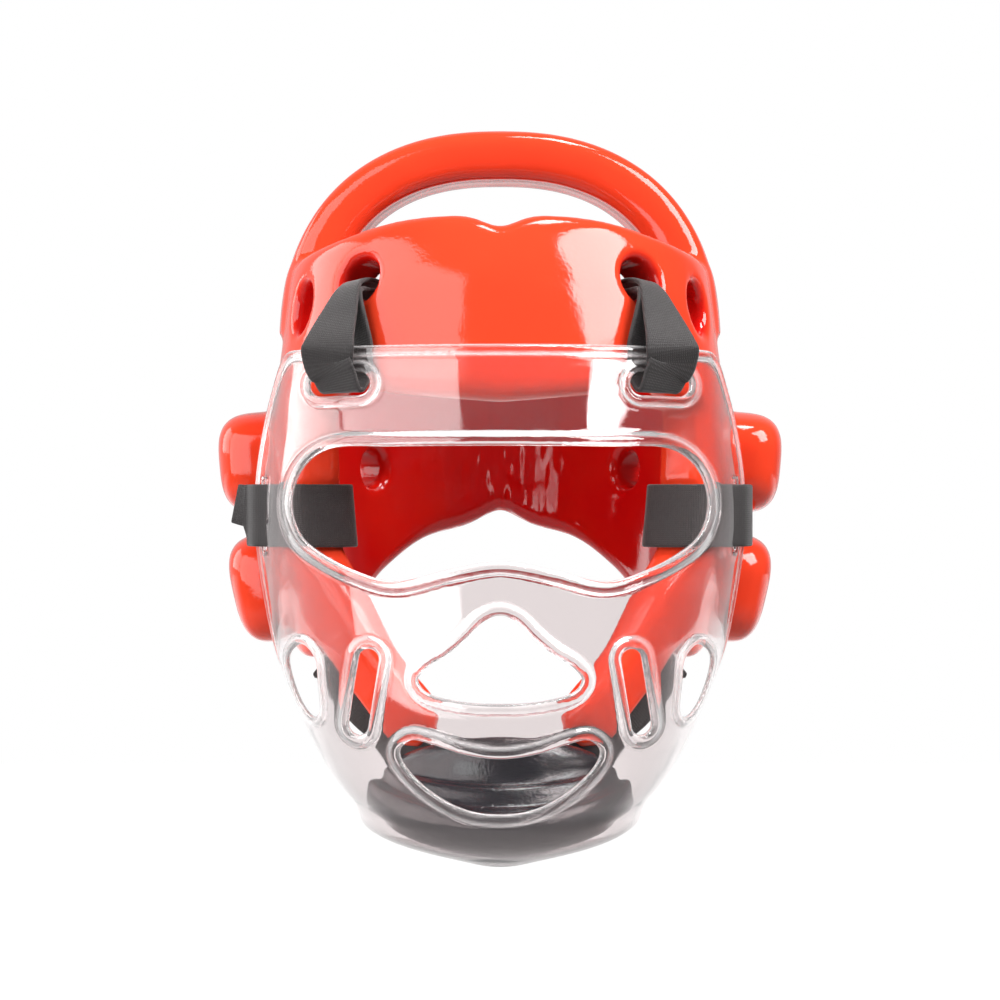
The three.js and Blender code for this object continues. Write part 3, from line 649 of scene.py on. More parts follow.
@dataclass(frozen=True)
class Webbing:
    """Dark woven tape: ribs across and yarns along it, read from the tape's own map in metres."""

    name: str = "webbing"
    tone: tuple[float, float, float] = (0.0135, 0.0103, 0.0103)
    worn_tone: tuple[float, float, float] = (0.025, 0.02, 0.02)
    rib_pitch: float = 0.0008
    yarn_pitch: float = 0.0009
    relief: float = 0.00012
    fuzz: float = 0.0001
    fuzz_scale: float = 1500.0
    roughness: tuple[float, float] = (0.6, 0.85)
    sheen: float = 0.25
    sheen_roughness: float = 0.4

    def material(self) -> bpy.types.Material:
        """Builds the node material.

        Returns:
            The material.
        """
        nodes = MaterialNodes(self.name)
        place = nodes.add("ShaderNodeUVMap", {"uv_map": "cloth"}).outputs["UV"]
        ribs = self._stripes(nodes, place, "X", self.rib_pitch)
        yarns = self._stripes(nodes, place, "Y", self.yarn_pitch)
        weave = nodes.times(ribs, yarns)
        fuzz = nodes.noise(nodes.object_place(), self.fuzz_scale)
        share = nodes.times(weave, nodes.ranged(fuzz, 0.4, 1.0))
        tone = nodes.mixed(share, self.tone, self.worn_tone)
        normal = nodes.bump(weave, self.relief, nodes.bump(fuzz, self.fuzz))
        gloss = nodes.ranged(fuzz, *self.roughness)
        shader = nodes.add("ShaderNodeBsdfPrincipled", Base_Color=tone, Normal=normal, Roughness=gloss)
        nodes.put(shader.inputs["Sheen Weight"], self.sheen)
        nodes.put(shader.inputs["Sheen Roughness"], self.sheen_roughness)
        return nodes.finish(shader.outputs["BSDF"])

    @staticmethod
    def _stripes(
        nodes: Nodes, place: bpy.types.NodeSocket, axis: str, pitch: float
    ) -> bpy.types.NodeSocket:
        """Even waves across one axis of the map, one to a pitch.

        Args:
            nodes: The tree to add them to.
            place: The place on the map, in metres.
            axis: The axis that they are counted along.
            pitch: Length of a wave in metres.

        Returns:
            The waves' height, from 0 to 1.
        """
        per_metre = 1.0 / (pitch * WAVE_BANDS)
        wave = nodes.add("ShaderNodeTexWave", {"bands_direction": axis}, Vector=place, Scale=per_metre)
        nodes.put(wave.inputs["Distortion"], 0.0)
        return wave.outputs["Fac"]


class Side(Enum):
    """A side of the part, seen from the front."""

    LEFT = -1
    RIGHT = 1

    @property
    def label(self) -> str:
        """The side's name in a piece's name."""
        return self.name.lower()

    def mirrored(self, points: np.ndarray) -> np.ndarray:
        """Points of the right side, moved to this side."""
        return points * np.array([self.value, 1.0, 1.0])


@dataclass(frozen=True)
class HeadForm:
    """The middle of the foam wall: superellipse sections by height, with their own reach front and back."""

    power: float = 2.3
    sections: Table = Table(
        ("z", "half_width", "front", "back"),
        (
            (0, 56, 58, 58),
            (-24, 74, 82, 76),
            (-45, 78, 94, 88),
            (-70, 81, 102, 98),
            (-95, 84, 107, 105),
            (-130, 84.5, 110, 107),
            (-165, 83, 108, 102),
            (-195, 76, 103, 95),
            (-235, 62, 95, 86),
        ),
    )

    def point(self, angle: np.ndarray, z: np.ndarray) -> np.ndarray:
        """The wall's middle at an angle from the front and a height: width times sin, reach times cos powers.

        Args:
            angle: Angles from the front, in radians.
            z: Heights.

        Returns:
            Points of the middle surface.
        """
        angle, z = np.broadcast_arrays(np.asarray(angle, float), np.asarray(z, float))
        front = self.sections.read(z, "front")
        reach = np.where(np.cos(angle) >= 0, front, self.sections.read(z, "back"))
        power = 2.0 / self.power
        x = self.sections.read(z, "half_width") * signed_power(np.sin(angle), power)
        return stacked(x, -reach * signed_power(np.cos(angle), power), z)

    def directions(self, angle: np.ndarray, z: np.ndarray) -> tuple[np.ndarray, ...]:
        """Directions of the wall by small differences.

        Args:
            angle: Angles from the front, in radians.
            z: Heights.

        Returns:
            The outward normal, the upward direction, and the lengths per radian and per height.
        """
        turn = 0.02
        lift = 1.0
        around = self.point(angle + turn, z) - self.point(angle - turn, z)
        up = self.point(angle, z + lift) - self.point(angle, z - lift)
        per_radian = np.linalg.norm(around, axis=-1) / (2.0 * turn)
        per_height = np.linalg.norm(up, axis=-1) / (2.0 * lift)
        return unit(np.cross(around, up)), unit(up), per_radian, per_height


def round_edge(
    centre: np.ndarray, out: np.ndarray, past: np.ndarray, half: np.ndarray, fullness: float
) -> np.ndarray:
    """Points from one side of a wall to the other round its edge, along half a superellipse.

    Args:
        centre: Middles of the edges, one for each ring.
        out: Directions to the wall's first side.
        past: Directions past the edge.
        half: Half thickness of the wall.
        fullness: 1 gives a half circle, less a squarer edge.

    Returns:
        Points, as rings by steps of the edge by three.
    """
    turn = np.linspace(0.0, math.pi, EDGE_STEPS)
    aside = signed_power(np.cos(turn), fullness)[None, :, None]
    ahead = np.clip(np.sin(turn), 0.0, 1.0)[None, :, None] ** fullness
    half = np.asarray(half, float).reshape(-1, 1, 1)
    return centre[:, None] + half * (out[:, None] * aside + past[:, None] * ahead)


@dataclass(frozen=True)
class CheekArm:
    """A flat padded arm laid on the head form, from inside the band down round the ear to the jaw."""

    head: HeadForm
    fullness: float = 0.72
    end_length: float = 0.42
    path: Table = Table(
        ("step", "angle", "z", "half_width", "half_thickness"),
        (
            (0, 79, -86, 42, 10.2),
            (1, 78, -114, 45, 10.2),
            (2, 76, -142, 44, 10.2),
            (3, 67, -166, 34, 9.7),
            (4, 50, -178.5, 17.5, 8.7),
            (5, 38.3, -201, 12.6, 8.1),
            (6, 22.5, -227, 13, 7.6),
        ),
    )

    def section(self, step: np.ndarray) -> tuple[np.ndarray, np.ndarray]:
        """Half thickness and half width of the flat faces; both shrink as a circle does towards the tip.

        Args:
            step: Places along the arm's table.

        Returns:
            The half thickness and the half width.
        """
        into = np.clip((step - self.path.last + self.end_length) / self.end_length, 0.0, 1.0)
        shrink = np.maximum(0.2, np.sqrt(1.0 - into**2))
        half = self.path.read(step, "half_thickness") * np.maximum(0.55, shrink)
        flat = np.maximum(0.5, self.path.read(step, "half_width") * shrink - half)
        return half, flat

    def across(self, step: np.ndarray, distance: np.ndarray) -> tuple[np.ndarray, np.ndarray]:
        """The angle and height at a distance across the arm, at right angles to its middle line.

        Args:
            step: Places along the arm's table.
            distance: Distances from the middle line, positive towards the face.

        Returns:
            Angles in radians and heights.
        """
        nearby = 0.05
        angle = np.radians(self.path.read(step, "angle"))
        z = self.path.read(step, "z")
        _, _, per_radian, per_height = self.head.directions(angle, z)
        turned = self.path.read(step + nearby, "angle") - self.path.read(step - nearby, "angle")
        turn = np.radians(turned) * per_radian
        climb = (self.path.read(step + nearby, "z") - self.path.read(step - nearby, "z")) * per_height
        length = np.hypot(turn, climb)
        return angle + distance * climb / length / per_radian, z - distance * turn / length / per_height

    def edge(self, step: np.ndarray, side: int) -> tuple[np.ndarray, np.ndarray, np.ndarray, np.ndarray]:
        """An edge of the flat faces.

        Args:
            step: Places along the arm's table.
            side: 1 for the edge towards the face, -1 for the one towards the ear.

        Returns:
            Its middle, the wall's normal, the way past it and the half thickness there.
        """
        half, flat = self.section(step)
        place = self.across(step, side * flat)
        centre = self.head.point(*place)
        past = unit(self.head.point(*self.across(step, side * (flat + 1.0))) - centre)
        return centre, self.head.directions(*place)[0], past, half

    def step_at(self, z: np.ndarray) -> np.ndarray:
        """The step at which the arm's front edge passes a height.

        Args:
            z: Heights.

        Returns:
            A step for each height.
        """
        step = np.linspace(0.0, self.path.last, 400)
        height = self.edge(step, 1)[0][:, 2]
        return np.interp(-np.asarray(z, float), -height, step)

    def skin(self) -> Skin:
        """The right arm: flat faces at plus and minus the half thickness, joined round both edges.

        Returns:
            The closed arm.
        """
        step = np.linspace(0.0, self.path.last, 120)
        half, flat = self.section(step)
        inside = np.linspace(-1.0, 1.0, 26)[None, 1:-1]
        angle, z = self.across(step[:, None], inside * flat[:, None])
        middle = self.head.point(angle, z)
        out = self.head.directions(angle, z)[0] * half[:, None, None]
        front = round_edge(*self.edge(step, 1), self.fullness)
        centre, normal, past, thick = self.edge(step, -1)
        rear = round_edge(centre, -normal, past, thick, self.fullness)
        rings = np.concatenate([middle + out, front, (middle - out)[:, ::-1], rear], axis=1)
        return Skin.from_rings(rings, closed=False)


@dataclass(frozen=True)
class HeadBand:
    """The foam wall round the head, between an upper and a lower edge that change with the angle."""

    head: HeadForm
    half: float = 9.5
    fullness: float = 0.72
    brow_notch: tuple[float, float] = (5.0, 13.0)
    nape_notch: tuple[float, float] = (6.0, 16.0)
    notch_z: float = -70.0
    edges: Table = Table(
        ("angle", "top", "bottom"),
        (
            (0, -33, -87),
            (25, -35, -84),
            (45, -40, -82),
            (60, -43, -96),
            (75, -45, -130),
            (90, -47, -158),
            (110, -51, -170),
            (128, -57, -168),
            (142, -62, -156),
            (160, -66, -141),
            (180, -68, -135),
        ),
    )

    def limits(self, angle: np.ndarray) -> tuple[np.ndarray, np.ndarray]:
        """Heights of the wall's upper and lower ends, with a notch at the brow and one at the nape.

        A notch is depth times exp(-2 (distance from the middle / width)^2).

        Args:
            angle: Angles from the front, in radians.

        Returns:
            The upper and the lower heights.
        """
        from_front = np.degrees(np.arccos(np.cos(angle)))
        aside = np.abs(self.head.point(angle, self.notch_z)[..., 0])
        notches = (self.brow_notch, self.nape_notch)
        brow, nape = (depth * np.exp(-2.0 * (aside / wide) ** 2) for depth, wide in notches)
        top = self.edges.read(from_front, "top") - np.where(from_front < 90, brow, 0.0)
        bottom = self.edges.read(from_front, "bottom") + np.where(from_front > 90, nape, 0.0)
        return top, bottom

    def skin(self) -> Skin:
        """The wall's section carried once round the head.

        Returns:
            The closed band.
        """
        angle = np.linspace(0.0, 2.0 * math.pi, 260, endpoint=False)
        top, bottom = self.limits(angle)
        share = np.linspace(0.0, 1.0, 30)[None, 1:-1]
        z = bottom[:, None] + (top - bottom)[:, None] * share
        middle = self.head.point(angle[:, None], z)
        out = self.head.directions(angle[:, None], z)[0] * self.half
        out_top, up_top, _, _ = self.head.directions(angle, top)
        out_low, up_low, _, _ = self.head.directions(angle, bottom)
        upper = round_edge(self.head.point(angle, top), out_top, up_top, self.half, self.fullness)
        lower = round_edge(self.head.point(angle, bottom), -out_low, -up_low, self.half, self.fullness)
        rings = np.concatenate([middle + out, upper, (middle - out)[:, ::-1], lower], axis=1)
        return Skin.from_rings(rings, closed=True)


@dataclass(frozen=True)
class CrownArch:
    """A rounded band over the head from side to side, along a superellipse hoop, wider at its roots."""

    half: float = 10.2
    fullness: float = 0.72
    half_width: float = 82.0
    rise: float = 79.5
    power: float = 2.35
    y: float = 4.0
    band_half: float = 22.0
    root_half: float = 30.0
    drop: float = 90.0

    def middle(self, turn: np.ndarray) -> np.ndarray:
        """The hoop's middle line at an angle from the top.

        Args:
            turn: Angles in radians.

        Returns:
            Points of the hoop: width and rise times sin and cos powers.
        """
        power = 2.0 / self.power
        x = self.half_width * signed_power(np.sin(turn), power)
        z = self.half - self.rise + self.rise * signed_power(np.cos(turn), power)
        return stacked(x, np.full_like(x, self.y), z)

    def skin(self) -> Skin:
        """The band's section carried along the hoop; its flat faces drop by distance^2 / (2 drop).

        Returns:
            The closed arch.
        """
        turn = np.radians(np.linspace(-88.0, 88.0, 200))
        centre = self.middle(turn)
        tangent = unit(self.middle(turn + 0.01) - self.middle(turn - 0.01))
        out = stacked(-tangent[:, 2], np.zeros(len(turn)), tangent[:, 0])
        fore = np.broadcast_to(np.array([0.0, -1.0, 0.0]), out.shape)
        widen = np.abs(np.sin(turn)) ** 6
        flat = self.band_half + (self.root_half - self.band_half) * widen - self.half
        across = np.linspace(-1.0, 1.0, 20)[None, 1:-1] * flat[:, None]
        sunk = (across**2 / (2.0 * self.drop))[..., None]
        face = centre[:, None] + fore[:, None] * across[..., None] - out[:, None] * sunk
        edge_sunk = (flat**2 / (2.0 * self.drop))[:, None]
        front = centre + fore * flat[:, None] - out * edge_sunk
        rear = centre - fore * flat[:, None] - out * edge_sunk
        fore_edge = round_edge(front, out, fore, self.half, self.fullness)
        rear_edge = round_edge(rear, -out, -fore, self.half, self.fullness)
        thick = out[:, None] * self.half
        rings = np.concatenate([face + thick, fore_edge, (face - thick)[:, ::-1], rear_edge], axis=1)
        return Skin.from_rings(rings, closed=False)


@dataclass(frozen=True)
class EarPad:
    """A rounded block on the side of the shell: a superellipsoid that leans in towards its lower end."""

    centre: tuple[float, float, float]
    half: tuple[float, float, float]
    lean: float
    power: float = 3.2

    def skin(self) -> Skin:
        """Directions of a sphere divided by their superellipsoid norm, scaled and turned about Y.

        Returns:
            The closed block.
        """
        turn = np.linspace(0.0, 2.0 * math.pi, 72, endpoint=False)[None, :]
        polar = np.linspace(0.02, math.pi - 0.02, 48)[:, None]
        way = stacked(np.sin(polar) * np.cos(turn), np.sin(polar) * np.sin(turn), np.cos(polar))
        size = (np.abs(way) ** self.power).sum(axis=-1, keepdims=True) ** (1.0 / self.power)
        block = way / size * np.array(self.half)
        lean = math.radians(self.lean)
        x = block[..., 0] * math.cos(lean) + block[..., 2] * math.sin(lean)
        z = block[..., 2] * math.cos(lean) - block[..., 0] * math.sin(lean)
        rings = stacked(x, block[..., 1], z) + np.array(self.centre)
        return Skin.from_rings(rings, closed=False)


@dataclass(frozen=True)
class WallHole:
    """A round hole through the foam wall, along its normal, on both sides of the head."""

    angle: float
    z: float
    radius: float = 10.0
    lip: float = 5.0
    cut: float = 45.0
    bore: float = 16.0

    def axis(self, head: HeadForm) -> tuple[np.ndarray, np.ndarray, np.ndarray]:
        """Middle and directions of the hole of the right side.

        Args:
            head: The form whose wall it goes through.

        Returns:
            Its middle in the wall, the way out along the wall's normal and the way up the wall.
        """
        place = (np.array(math.radians(self.angle)), np.array(self.z))
        out, up, _, _ = head.directions(*place)
        return head.point(*place), out, up


STRAP_HOLE = WallHole(36.4, -50.4, 9.3)


@dataclass
class FoamShell:
    """The dipped-foam shell: band, arch, cheek arms and ear pads joined with soft fillets, and its holes."""

    head: HeadForm = HeadForm()
    pads: tuple[EarPad, ...] = (
        EarPad((99.5, 9.0, -118.0), (18.0, 38.0, 21.0), 5.0),
        EarPad((95.0, 9.0, -170.0), (17.0, 36.0, 23.0), 13.0),
    )
    holes: tuple[WallHole, ...] = (
        STRAP_HOLE,
        WallHole(62.0, -58.0),
        WallHole(134.5, -120.0, 8.0),
        WallHole(94.0, -143.0),
    )
    space: VoxelSpace = VoxelSpace((-123.0, -121.5, -234.0), (123.0, 123.0, 27.0), 1.5)
    reach: float = 12.0
    arch_fillet: float = 5.0
    arm_fillet: float = 2.0
    pad_fillet: float = 4.0
    nape: tuple[float, float, float] = (0.0, 100.0, -124.0)
    nape_reach: float = 30.0
    nape_gather: float = 0.9
    # where shade is painted: inner faces, towards the back, and the holes' bores
    inner_facing: tuple[float, float] = (-0.2, 0.5)
    inner_back: tuple[float, float] = (-20.0, 60.0)
    bore_fade: tuple[float, float] = (0.0, 4.0)
    # the second colour is the darker tone painted as shade inside the back
    finish: DippedFoam = DippedFoam("dipped_foam", (0.66, 0.044, 0.015), (0.5, 0.001, 0.003))

    def distances(self) -> np.ndarray:
        """Signed distances to the whole shell.

        Returns:
            A distance for each place of the space.
        """
        space = self.space
        band = space.distance(HeadBand(self.head).skin(), self.reach)
        arch = space.distance(CrownArch().skin(), self.reach)
        arm = space.distance(CheekArm(self.head).skin(), self.reach)
        shell = smooth_union(band, arch, self.arch_fillet)
        shell = smooth_union(shell, np.minimum(arm, arm[::-1]), self.arm_fillet)
        for pad in self.pads:
            block = space.distance(pad.skin(), self.reach)
            shell = smooth_union(shell, np.minimum(block, block[::-1]), self.pad_fillet)
        for hole in self.holes:
            self._drill(shell, hole)
            self._drill(shell[::-1], hole)
        return shell

    def _drill(self, shell: np.ndarray, hole: WallHole) -> None:
        """Cuts a hole of the right side into the field in place: distance to its axis less its radius.

        Args:
            shell: The field, which is changed.
            hole: The hole.
        """
        middle, out, _ = hole.axis(self.head)
        x, y, z = self.space.axes()
        away = stacked(x - middle[0], y - middle[1], z - middle[2]).astype(np.float32)
        through = away @ out.astype(np.float32)
        round_axis = np.sqrt(np.maximum((away**2).sum(axis=-1) - through**2, 0.0))
        bar = np.maximum(round_axis - hole.radius, np.abs(through) - hole.cut)
        shell[...] = smooth_cut(shell, bar, hole.lip)

    def marks(self, skin: Skin) -> dict[str, np.ndarray]:
        """What the material reads at the points: the nape's gathers, and how far a point is inside the back,
        where the material paints shade.

        The gathers fade as exp(-(distance from the nape / reach)^2); the bores of the holes count as inside
        and get the painted shade too.

        Args:
            skin: The shell's surface.

        Returns:
            The marks by name.
        """
        from_nape = np.linalg.norm(skin.points - np.array(self.nape), axis=1)
        gather = self.nape_gather * np.exp(-((from_nape / self.nape_reach) ** 2))
        facing = -(skin.normals() * unit(skin.points * np.array([1.0, 1.0, 0.0]))).sum(axis=1)
        # painted shade: inner faces towards the back, and the holes' bores, get the darker tone
        inner_shade = smooth_step(*self.inner_facing, facing) * smooth_step(*self.inner_back, skin.points[:, 1])
        for hole in self.holes:
            bored = 1.0 - smooth_step(*self.bore_fade, self._from_hole(skin.points, hole))
            inner_shade = np.maximum(inner_shade, bored)
        return {"gather": gather, "inner_shade": inner_shade}

    def _from_hole(self, points: np.ndarray, hole: WallHole) -> np.ndarray:
        """Distance of points outside a hole's bore, on the nearer side of the head.

        Args:
            points: The points.
            hole: The hole.

        Returns:
            A distance for each point, negative in the bore.
        """
        middle, out, _ = hole.axis(self.head)
        away = stacked(np.abs(points[:, 0]), points[:, 1], points[:, 2]) - middle
        through = away @ out
        round_axis = np.linalg.norm(away - through[:, None] * out, axis=1)
        return round_axis - hole.radius + np.maximum(np.abs(through) - hole.bore, 0.0)

    def build(self) -> bpy.types.Object:
        """Returns:
            The shell's object.
        """
        skin = self.space.surface(self.distances()).relaxed(6)
        skin.marks = self.marks(skin)
        piece = skin.to_object("foam_shell", self.finish.material())
        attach(piece, "root")
        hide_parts("headgear_shell")
        return piece


@dataclass(frozen=True)
class Opening:
    """An opening of the shield, seen from the front: a closed outline with a rolled rim round it."""

    outline: np.ndarray
    rim_height: float = 1.1
    rim_width: float = 4.2

    def distance(self, x: np.ndarray, z: np.ndarray) -> np.ndarray:
        """Signed distance to the outline from the nearest of its short edges, negative inside it.

        Args:
            x: Places across.
            z: Heights.

        Returns:
            A distance for each place.
        """
        places = stacked(x, z).reshape(-1, 1, 2)
        start = self.outline[None]
        way = np.roll(self.outline, -1, axis=0)[None] - start
        from_start = places - start
        share = np.clip((from_start * way).sum(-1) / (way**2).sum(-1), 0.0, 1.0)
        nearest = np.sqrt(((from_start - share[..., None] * way) ** 2).sum(-1).min(axis=1))
        above = start[..., 1] > places[..., 1]
        crossed = above != (np.roll(self.outline, -1, axis=0)[None, :, 1] > places[..., 1])
        rise = np.where(np.abs(way[..., 1]) < 1e-9, 1e-9, way[..., 1])
        at = start[..., 0] + (places[..., 1] - start[..., 1]) / rise * way[..., 0]
        inside = (crossed & (places[..., 0] < at)).sum(axis=1) % 2 == 1
        return np.where(inside, -nearest, nearest).reshape(np.broadcast(x, z).shape)

    def mirrored(self) -> "Opening":
        """The same opening on the other side of the face."""
        return Opening(self.outline[::-1] * np.array([-1.0, 1.0]), self.rim_height, self.rim_width)


def both_halves(half: tuple[tuple[float, float], ...]) -> np.ndarray:
    """A smooth closed outline through a right half outline's points and their mirror images.

    Args:
        half: Points from the middle of the top to the middle of the bottom.

    Returns:
        The outline's points.
    """
    right = np.array(half, float)
    left = right[1:-1][::-1] * np.array([-1.0, 1.0])
    return smooth_path(np.concatenate([right, left]), 10, closed=True)


def slot_outline(top: tuple[float, float], bottom: tuple[float, float], radius: float) -> np.ndarray:
    """A slot with round ends between two points.

    Args:
        top: Centre of one end.
        bottom: Centre of the other end.
        radius: Radius of the ends.

    Returns:
        The outline's points.
    """
    one = np.array(top)
    two = np.array(bottom)
    way = math.atan2(*(two - one)[::-1])
    turn = np.linspace(0.0, math.pi, 24)
    ends = []
    for centre, start in ((two, way - math.pi / 2.0), (one, way + math.pi / 2.0)):
        ends.append(centre + radius * stacked(np.cos(start + turn), np.sin(start + turn)))
    return np.concatenate(ends)


@dataclass
class FaceShield:
    """The clear shield: a bowed sheet with rolled rims round its edge and its openings."""

    wall: float = 2.6
    thinned: float = 0.5
    thinned_below: tuple[float, float] = (240.0, 262.0)
    power: float = 2.4
    flare: float = 0.93
    edge_round: float = 1.2
    edge_width: float = 4.0
    edge_height: float = 0.9
    edge_rolled: tuple[float, float] = (-215.0, -170.0)
    # heights over which the painted highlight line along the sheet's edge fades in
    edge_highlight_span: tuple[float, float] = (-170.0, -110.0)
    inner_rise: float = 0.6
    top_corner: float = 9.0
    bottom_corner: float = 3.0
    far: float = 30.0
    sections: Table = Table(
        ("z", "half_width", "rim", "middle"),
        (
            (-75, 86, -62, -121.5),
            (-104, 95, -44, -130),
            (-126, 98.6, -40, -136),
            (-142, 99, -40, -140),
            (-174, 95, -42, -147),
            (-197, 89.5, -49, -150),
            (-216, 81, -58, -151),
            (-232, 73, -67, -149.5),
            (-251, 58.5, -80, -144),
            (-268, 36, -95, -132),
            (-273.4, 8, -108, -117),
        ),
    )
    eye: tuple[tuple[float, float], ...] = (
        (0, -113.7),
        (40, -113.8),
        (64, -114.2),
        (72.6, -118.3),
        (78.2, -125.2),
        (80.6, -134),
        (79.4, -142),
        (75.6, -148.7),
        (68, -154.2),
        (55, -160.3),
        (39.5, -164.3),
        (18.5, -159.7),
        (0, -156.8),
    )
    nose: tuple[tuple[float, float], ...] = (
        (0, -176.6),
        (6, -178.8),
        (12.2, -184.8),
        (18.8, -190.5),
        (27, -195.8),
        (30.2, -200.3),
        (27.5, -204.6),
        (15.5, -208),
        (0, -208.9),
    )
    mouth: tuple[tuple[float, float], ...] = (
        (0, -229.3),
        (13, -227.7),
        (26, -223.9),
        (33, -223),
        (37, -227),
        (35.5, -232),
        (26, -241.5),
        (12.5, -248.6),
        (0, -250.3),
    )
    side: tuple[tuple[float, float], ...] = (
        (76.6, -189.8),
        (82.6, -195),
        (82.4, -203.6),
        (77.5, -215.4),
        (72.2, -218.6),
        (69.8, -216),
        (70, -205),
        (71.2, -194.5),
    )
    cheek_slot: tuple[tuple[float, float], tuple[float, float], float] = ((49, -193.5), (53.2, -218.6), 3.9)
    top_slot: tuple[tuple[float, float], tuple[float, float], float] = ((54.1, -89.5), (68.9, -89.5), 4.6)
    rim_slot: tuple[float, float, float, float] = (-56.5, -140.2, 4.0, 14.5)
    rim_slot_from: float = 60.0
    space: VoxelSpace = VoxelSpace((-105.0, -156.0, -280.0), (105.0, -34.0, -70.0), 1.0)
    map_step: float = 0.5
    finish: ClearSheet = ClearSheet()

    def openings(self) -> list[Opening]:
        """All the openings that are cut from front to back.

        Returns:
            The openings of both sides.
        """
        right = [
            Opening(slot_outline(*self.cheek_slot)),
            Opening(smooth_path(np.array(self.side, float), 10, closed=True), 0.5, 3.0),
            Opening(slot_outline(*self.top_slot), 0.9, 4.0),
        ]
        middle = [Opening(both_halves(half)) for half in (self.nose, self.mouth)]
        eye = Opening(both_halves(self.eye), 1.7, 4.6)
        return [eye, *middle, *right, *(opening.mirrored() for opening in right)]

    def read(self, z: np.ndarray, name: str) -> np.ndarray:
        """A size of the shield at a height."""
        return self.sections.read(z, name)

    def forward(self, share: np.ndarray) -> np.ndarray:
        """How far forward a section stands at a share of its half width: 1 in the middle, 0 at the rim.

        The section is a superellipse, cut at the flare and scaled; past the rim it goes on straight.

        Args:
            share: Shares of the half width.

        Returns:
            A share of the depth for each.
        """
        size = np.abs(share)
        rest = 1.0 - self.flare**self.power
        end = rest ** (1.0 / self.power)
        slope = self.flare**self.power * rest ** (1.0 / self.power - 1.0)
        height = (1.0 - (self.flare * np.minimum(size, 1.0)) ** self.power) ** (1.0 / self.power)
        return (height - end - slope * np.maximum(size - 1.0, 0.0)) / (1.0 - end)

    def depth(self, x: np.ndarray, z: np.ndarray) -> np.ndarray:
        """Depth of the outer face at a place seen from the front: from the rim to the middle by forward."""
        rim = self.read(z, "rim")
        return rim + (self.read(z, "middle") - rim) * self.forward(x / self.read(z, "half_width"))

    def held(self, z: np.ndarray, step: float) -> np.ndarray:
        """Heights kept a step inside the sections."""
        return np.clip(z, self.sections.last + step, self.sections.first - step)

    def slopes(self, x: np.ndarray, z: np.ndarray, step: float) -> tuple[np.ndarray, np.ndarray]:
        """Slopes of the outer face's depth, by differences over a step to both sides.

        Args:
            x: Places across.
            z: Heights.
            step: The step.

        Returns:
            The slope across and the slope upwards.
        """
        across = (self.depth(x + step, z) - self.depth(x - step, z)) / (2.0 * step)
        up = (self.depth(x, z + step) - self.depth(x, z - step)) / (2.0 * step)
        return across, up

    def normal(self, x: np.ndarray, z: np.ndarray) -> np.ndarray:
        """Outward normal of the outer face at a place seen from the front.

        Args:
            x: Places across.
            z: Heights.

        Returns:
            A unit normal for each place.
        """
        step = 0.5
        wide = self.read(z, "half_width") - step
        across, up = self.slopes(np.clip(x, -wide, wide), self.held(z, step), step)
        return unit(stacked(across, -np.ones_like(across), up))

    def off_face(self, x: float, z: float, height: float) -> np.ndarray:
        """A place over the outer face, seen from the front, at a height along its normal."""
        x, z = np.array(float(x)), np.array(float(z))
        return stacked(x, self.depth(x, z), z) + height * self.normal(x, z)

    def front_maps(self) -> tuple[np.ndarray, np.ndarray, np.ndarray]:
        """Maps seen from the front: distance to the nearest opening, the rolled rims' height, and their
        borders, where the material paints highlight lines.

        A rim's height is its top times exp(-(2 (d - w/2) / w)^4), where d is the distance from the opening's
        edge and w the rim's width.

        Returns:
            The three maps, on the steps of map_step over the space's front.
        """
        x = np.arange(self.space.low[0], self.space.high[0] + self.map_step, self.map_step)[:, None]
        z = np.arange(self.space.low[2], self.space.high[2] + self.map_step, self.map_step)[None, :]
        nearest = np.full((x.shape[0], z.shape[1]), self.far)
        raised = np.zeros_like(nearest)
        highlight_lines = np.zeros_like(nearest)
        margin = 12.0
        for opening in self.openings():
            low = opening.outline.min(axis=0) - margin
            high = opening.outline.max(axis=0) + margin
            rows = slice(*np.searchsorted(x[:, 0], (low[0], high[0])))
            columns = slice(*np.searchsorted(z[0], (low[1], high[1])))
            away = opening.distance(x[rows], z[:, columns])
            nearest[rows, columns] = np.minimum(nearest[rows, columns], away)
            rolled = self.roll(away, opening.rim_width) * opening.rim_height
            raised[rows, columns] = np.maximum(raised[rows, columns], rolled)
            highlight_lines[rows, columns] = np.maximum(highlight_lines[rows, columns], self.borders(away, opening.rim_width))
        return nearest, raised, highlight_lines

    @staticmethod
    def roll(away: np.ndarray, width: float) -> np.ndarray:
        """Share of a rolled rim's height at a distance from the edge that it runs along."""
        return np.exp(-((2.0 * (away - width / 2.0) / width) ** 4))

    @staticmethod
    def borders(away: np.ndarray, width: float) -> np.ndarray:
        """1 on both borders of a rolled rim, fading as exp(-(d / fade)^2) with the distance d from them.

        Args:
            away: Distances from the edge that the rim runs along.
            width: The rim's width.

        Returns:
            A share for each distance.
        """
        inset = 0.3
        fade = 0.5
        near = np.minimum(np.abs(away - inset), np.abs(away - width + inset))
        return np.exp(-((near / fade) ** 2))

    def from_edge(self, y: np.ndarray, z: np.ndarray) -> np.ndarray:
        """Distance inside the sheet's edge: its rear rim, its top and its bottom, with rounded corners.

        Args:
            y: Depths.
            z: Heights.

        Returns:
            A distance for each place, negative outside the edge.
        """
        step = 0.25
        held = self.held(z, step)
        slope = (self.read(held + step, "rim") - self.read(held - step, "rim")) / (2.0 * step)
        from_rim = (self.read(held, "rim") - y) / np.sqrt(1.0 + slope**2)
        upper = smooth_union(from_rim, self.sections.first - z, self.top_corner)
        return smooth_union(upper, z - self.sections.last, self.bottom_corner)

